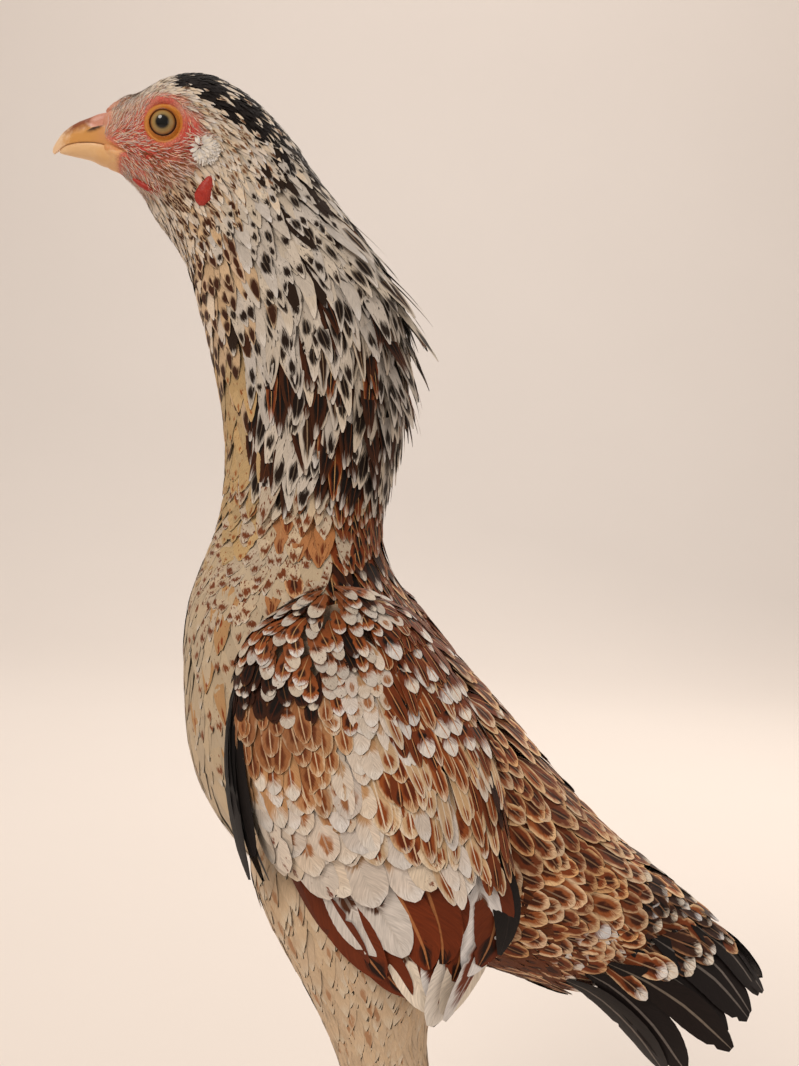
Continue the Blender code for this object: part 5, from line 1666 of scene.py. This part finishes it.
def makeLeg(side):
    mirrored = side == "right"
    runs = [
        ("shank", shankForm, (-0.05, 6.0), 0.2, 0.5, *scutes["shank"], 2, 250, 104),
        ("foot", padForm, (-0.3, 3.0), 0.14, 0.5, 4.0, 0.4, 2, 44, 104),
    ]
    for name, toe in toes.items():
        form = toeForm(toe)
        runs.append((f"toe_{name}", form, (1.2, 8.0), 0.17, 0.0, *scutes["toe"], 1, int(toe[1] * 2), 60))
    for name, form, span, band, centre, step, high, rows, rings, sides in runs:
        line = np.linspace(*span, rings)
        mesh = meshFrom(tubeOf(line, sides, legSurface(form, band, centre, step, high, rows)), name, mirrored)
        grid = [k.ravel() for k in np.meshgrid(np.linspace(0, 1, sides + 1)[:-1], line)]
        shade, inBand = legPaint(form, band, centre, step, high, rows, grid[1], grid[0])
        spots = legSurface(form, band, centre, step, high, rows)(grid[1], grid[0])
        spots[:, 1] *= -1 if mirrored else 1
        tree = KDTree(len(spots))
        for k, spot in enumerate(spots):
            tree.insert(spot, k)
        tree.balance()
        found = [tree.find(point)[1] for point in pointsOf(mesh)]
        paintOn(mesh, "plate", shade[found])
        paintOn(mesh, "band", inBand[found])
        pieceOf(f"{name}_scales_{side}", mesh, legScale, "leg_scale", f"{name}_{side}")
    for name, toe in toes.items():
        form = clawForm(toe)
        tube = tubeOf(np.linspace(0, 5, 30), 28, lambda t, turn: surface(form, t, turn))
        mesh = meshFrom(tube, name, mirrored)
        points = pointsOf(mesh)
        out = np.linalg.norm(points[:, :2] * (1, -1 if mirrored else 1) - ankle[:2], axis=1) / mm
        paintOn(mesh, "along", np.clip((out - toe[1]) / toe[6], 0, 1))
        paintOn(mesh, "ridge", np.clip(points[:, 2] / mm / 6, 0, 1))
        paintOn(mesh, "pit", 0 * out)
        pieceOf(f"claw_{name}_{side}_horn", mesh, clawHorn, "claw_horn", f"claw_{name}_{side}")


makeSkin()
makeBeak()
makeFlesh("combSkin", redFlesh["comb"], pinkSkin, "red_skin", ["comb"])
for wingSide in ("left", "right"):
    mirrored = wingSide == "right"
    makeEye(wingSide)
    makeFlesh(f"dewlap_{wingSide}", redFlesh["dewlap"], redSkin, "red_skin", [f"wattle_{wingSide}"], mirrored)
    makeFlesh(f"lobe_{wingSide}", redFlesh["lobe"], redSkin, "red_skin", [f"earlobe_{wingSide}"], mirrored)
    makeLeg(wingSide)
print("head and legs ready")
makeHeadCoat()
makeBristles()
makeNeckCoat()
makeBreastCoat()
makeBackCoat()
for wingSide in ("left", "right"):
    makeWing(wingSide)
makeTail()
for thighSide in ("left", "right"):
    makeThigh(thighSide)
for wingSide in ("left", "right"):
    makeWingCrown(wingSide)


# Floor, light and camera. The camera stands level with the neck and looks a little down.

stage = {"size": 4.5, "back": 1.7, "bend": 1.3, "high": 3.2, "colour": (232, 222, 214)}
view = {"target": (-0.00569, 0.0, 0.35988), "distance": 0.62, "pitch": 5.0, "roll": 3.5, "lens": 52.35}


def makeFloor():
    # a floor that sweeps up into a wall far behind the hen
    bm = bmesh.new()
    bmesh.ops.create_grid(bm, x_segments=40, y_segments=120, size=0.5)
    quarter = stage["bend"] * math.pi / 2
    for v in bm.verts:
        run = (v.co.y + 0.5) * (stage["size"] + stage["back"] + quarter + stage["high"]) - stage["size"]
        angle = min(max(run - stage["back"], 0), quarter) / stage["bend"]
        y = min(run, stage["back"]) + stage["bend"] * math.sin(angle)
        z = stage["bend"] * (1 - math.cos(angle)) + max(run - stage["back"] - quarter, 0)
        v.co = (v.co.x * 2 * stage["size"], y, z)
    mesh = bpy.data.meshes.new("floor")
    bm.to_mesh(mesh)
    bm.free()
    mesh.shade_smooth()
    floor = bpy.data.objects.new("floor", mesh)
    home.objects.link(floor)
    material, tree, shader = principled("floorPaint", Roughness=0.7, Specular_IOR_Level=0.2)
    grain = noiseOf(tree, placeOf(tree), 3.0, 4.0)
    low, high = paint(*(c - 4 for c in stage["colour"])), paint(*stage["colour"])
    tree.links.new(mixed(tree, grain, low, high), shader.inputs["Base Color"])
    mesh.materials.append(material)


def makeLamp(name, place, size, power, aim=(0, 0, 0.3), colour=(1, 1, 1)):
    lamp = bpy.data.lights.new(name, "AREA")
    lamp.shape, lamp.size, lamp.energy, lamp.color = "DISK", size, power, colour
    made = bpy.data.objects.new(name, lamp)
    made.location = place
    made.rotation_euler = (Vector(aim) - Vector(place)).to_track_quat("-Z", "Y").to_euler()
    home.objects.link(made)


def makeCamera():
    pitch, roll = math.radians(view["pitch"]), math.radians(view["roll"])
    ahead = Vector((0, math.cos(pitch), -math.sin(pitch)))
    up = Vector((0, math.sin(pitch), math.cos(pitch)))
    right = Vector((1, 0, 0)) * math.cos(roll) + up * math.sin(roll)
    upright = up * math.cos(roll) - Vector((1, 0, 0)) * math.sin(roll)
    lens = bpy.data.cameras.new("camera")
    lens.sensor_fit, lens.sensor_height, lens.lens = "VERTICAL", 36, view["lens"]
    lens.clip_start = 0.01
    camera = bpy.data.objects.new("camera", lens)
    turn = Matrix((right, upright, -ahead)).transposed().to_4x4()
    camera.matrix_world = Matrix.Translation(Vector(view["target"]) - ahead * view["distance"]) @ turn
    home.objects.link(camera)
    bpy.context.scene.camera = camera


def makeLight():
    world = bpy.data.worlds.new("softRoom")
    bpy.context.scene.world = world
    world.use_nodes = True
    world.node_tree.nodes["Background"].inputs["Color"].default_value = paint(236, 224, 212)
    world.node_tree.nodes["Background"].inputs["Strength"].default_value = 0.42
    warm = (1.0, 0.92, 0.83)
    makeLamp("key", (-0.8, -1.2, 1.6), 0.7, 16.5, colour=warm)
    makeLamp("wall", (0, 0.9, 2.7), 1.4, 38, aim=(0, 2.6, 0.9))
    makeLamp("fill", (1.3, -1.2, 0.7), 1.5, 4, colour=warm)
    makeLamp("rim", (0.6, 1.3, 1.3), 1.0, 10, colour=warm)
    bpy.context.scene.view_settings.view_transform = "Standard"


makeFloor()
makeLight()
makeCamera()
print("stage ready")
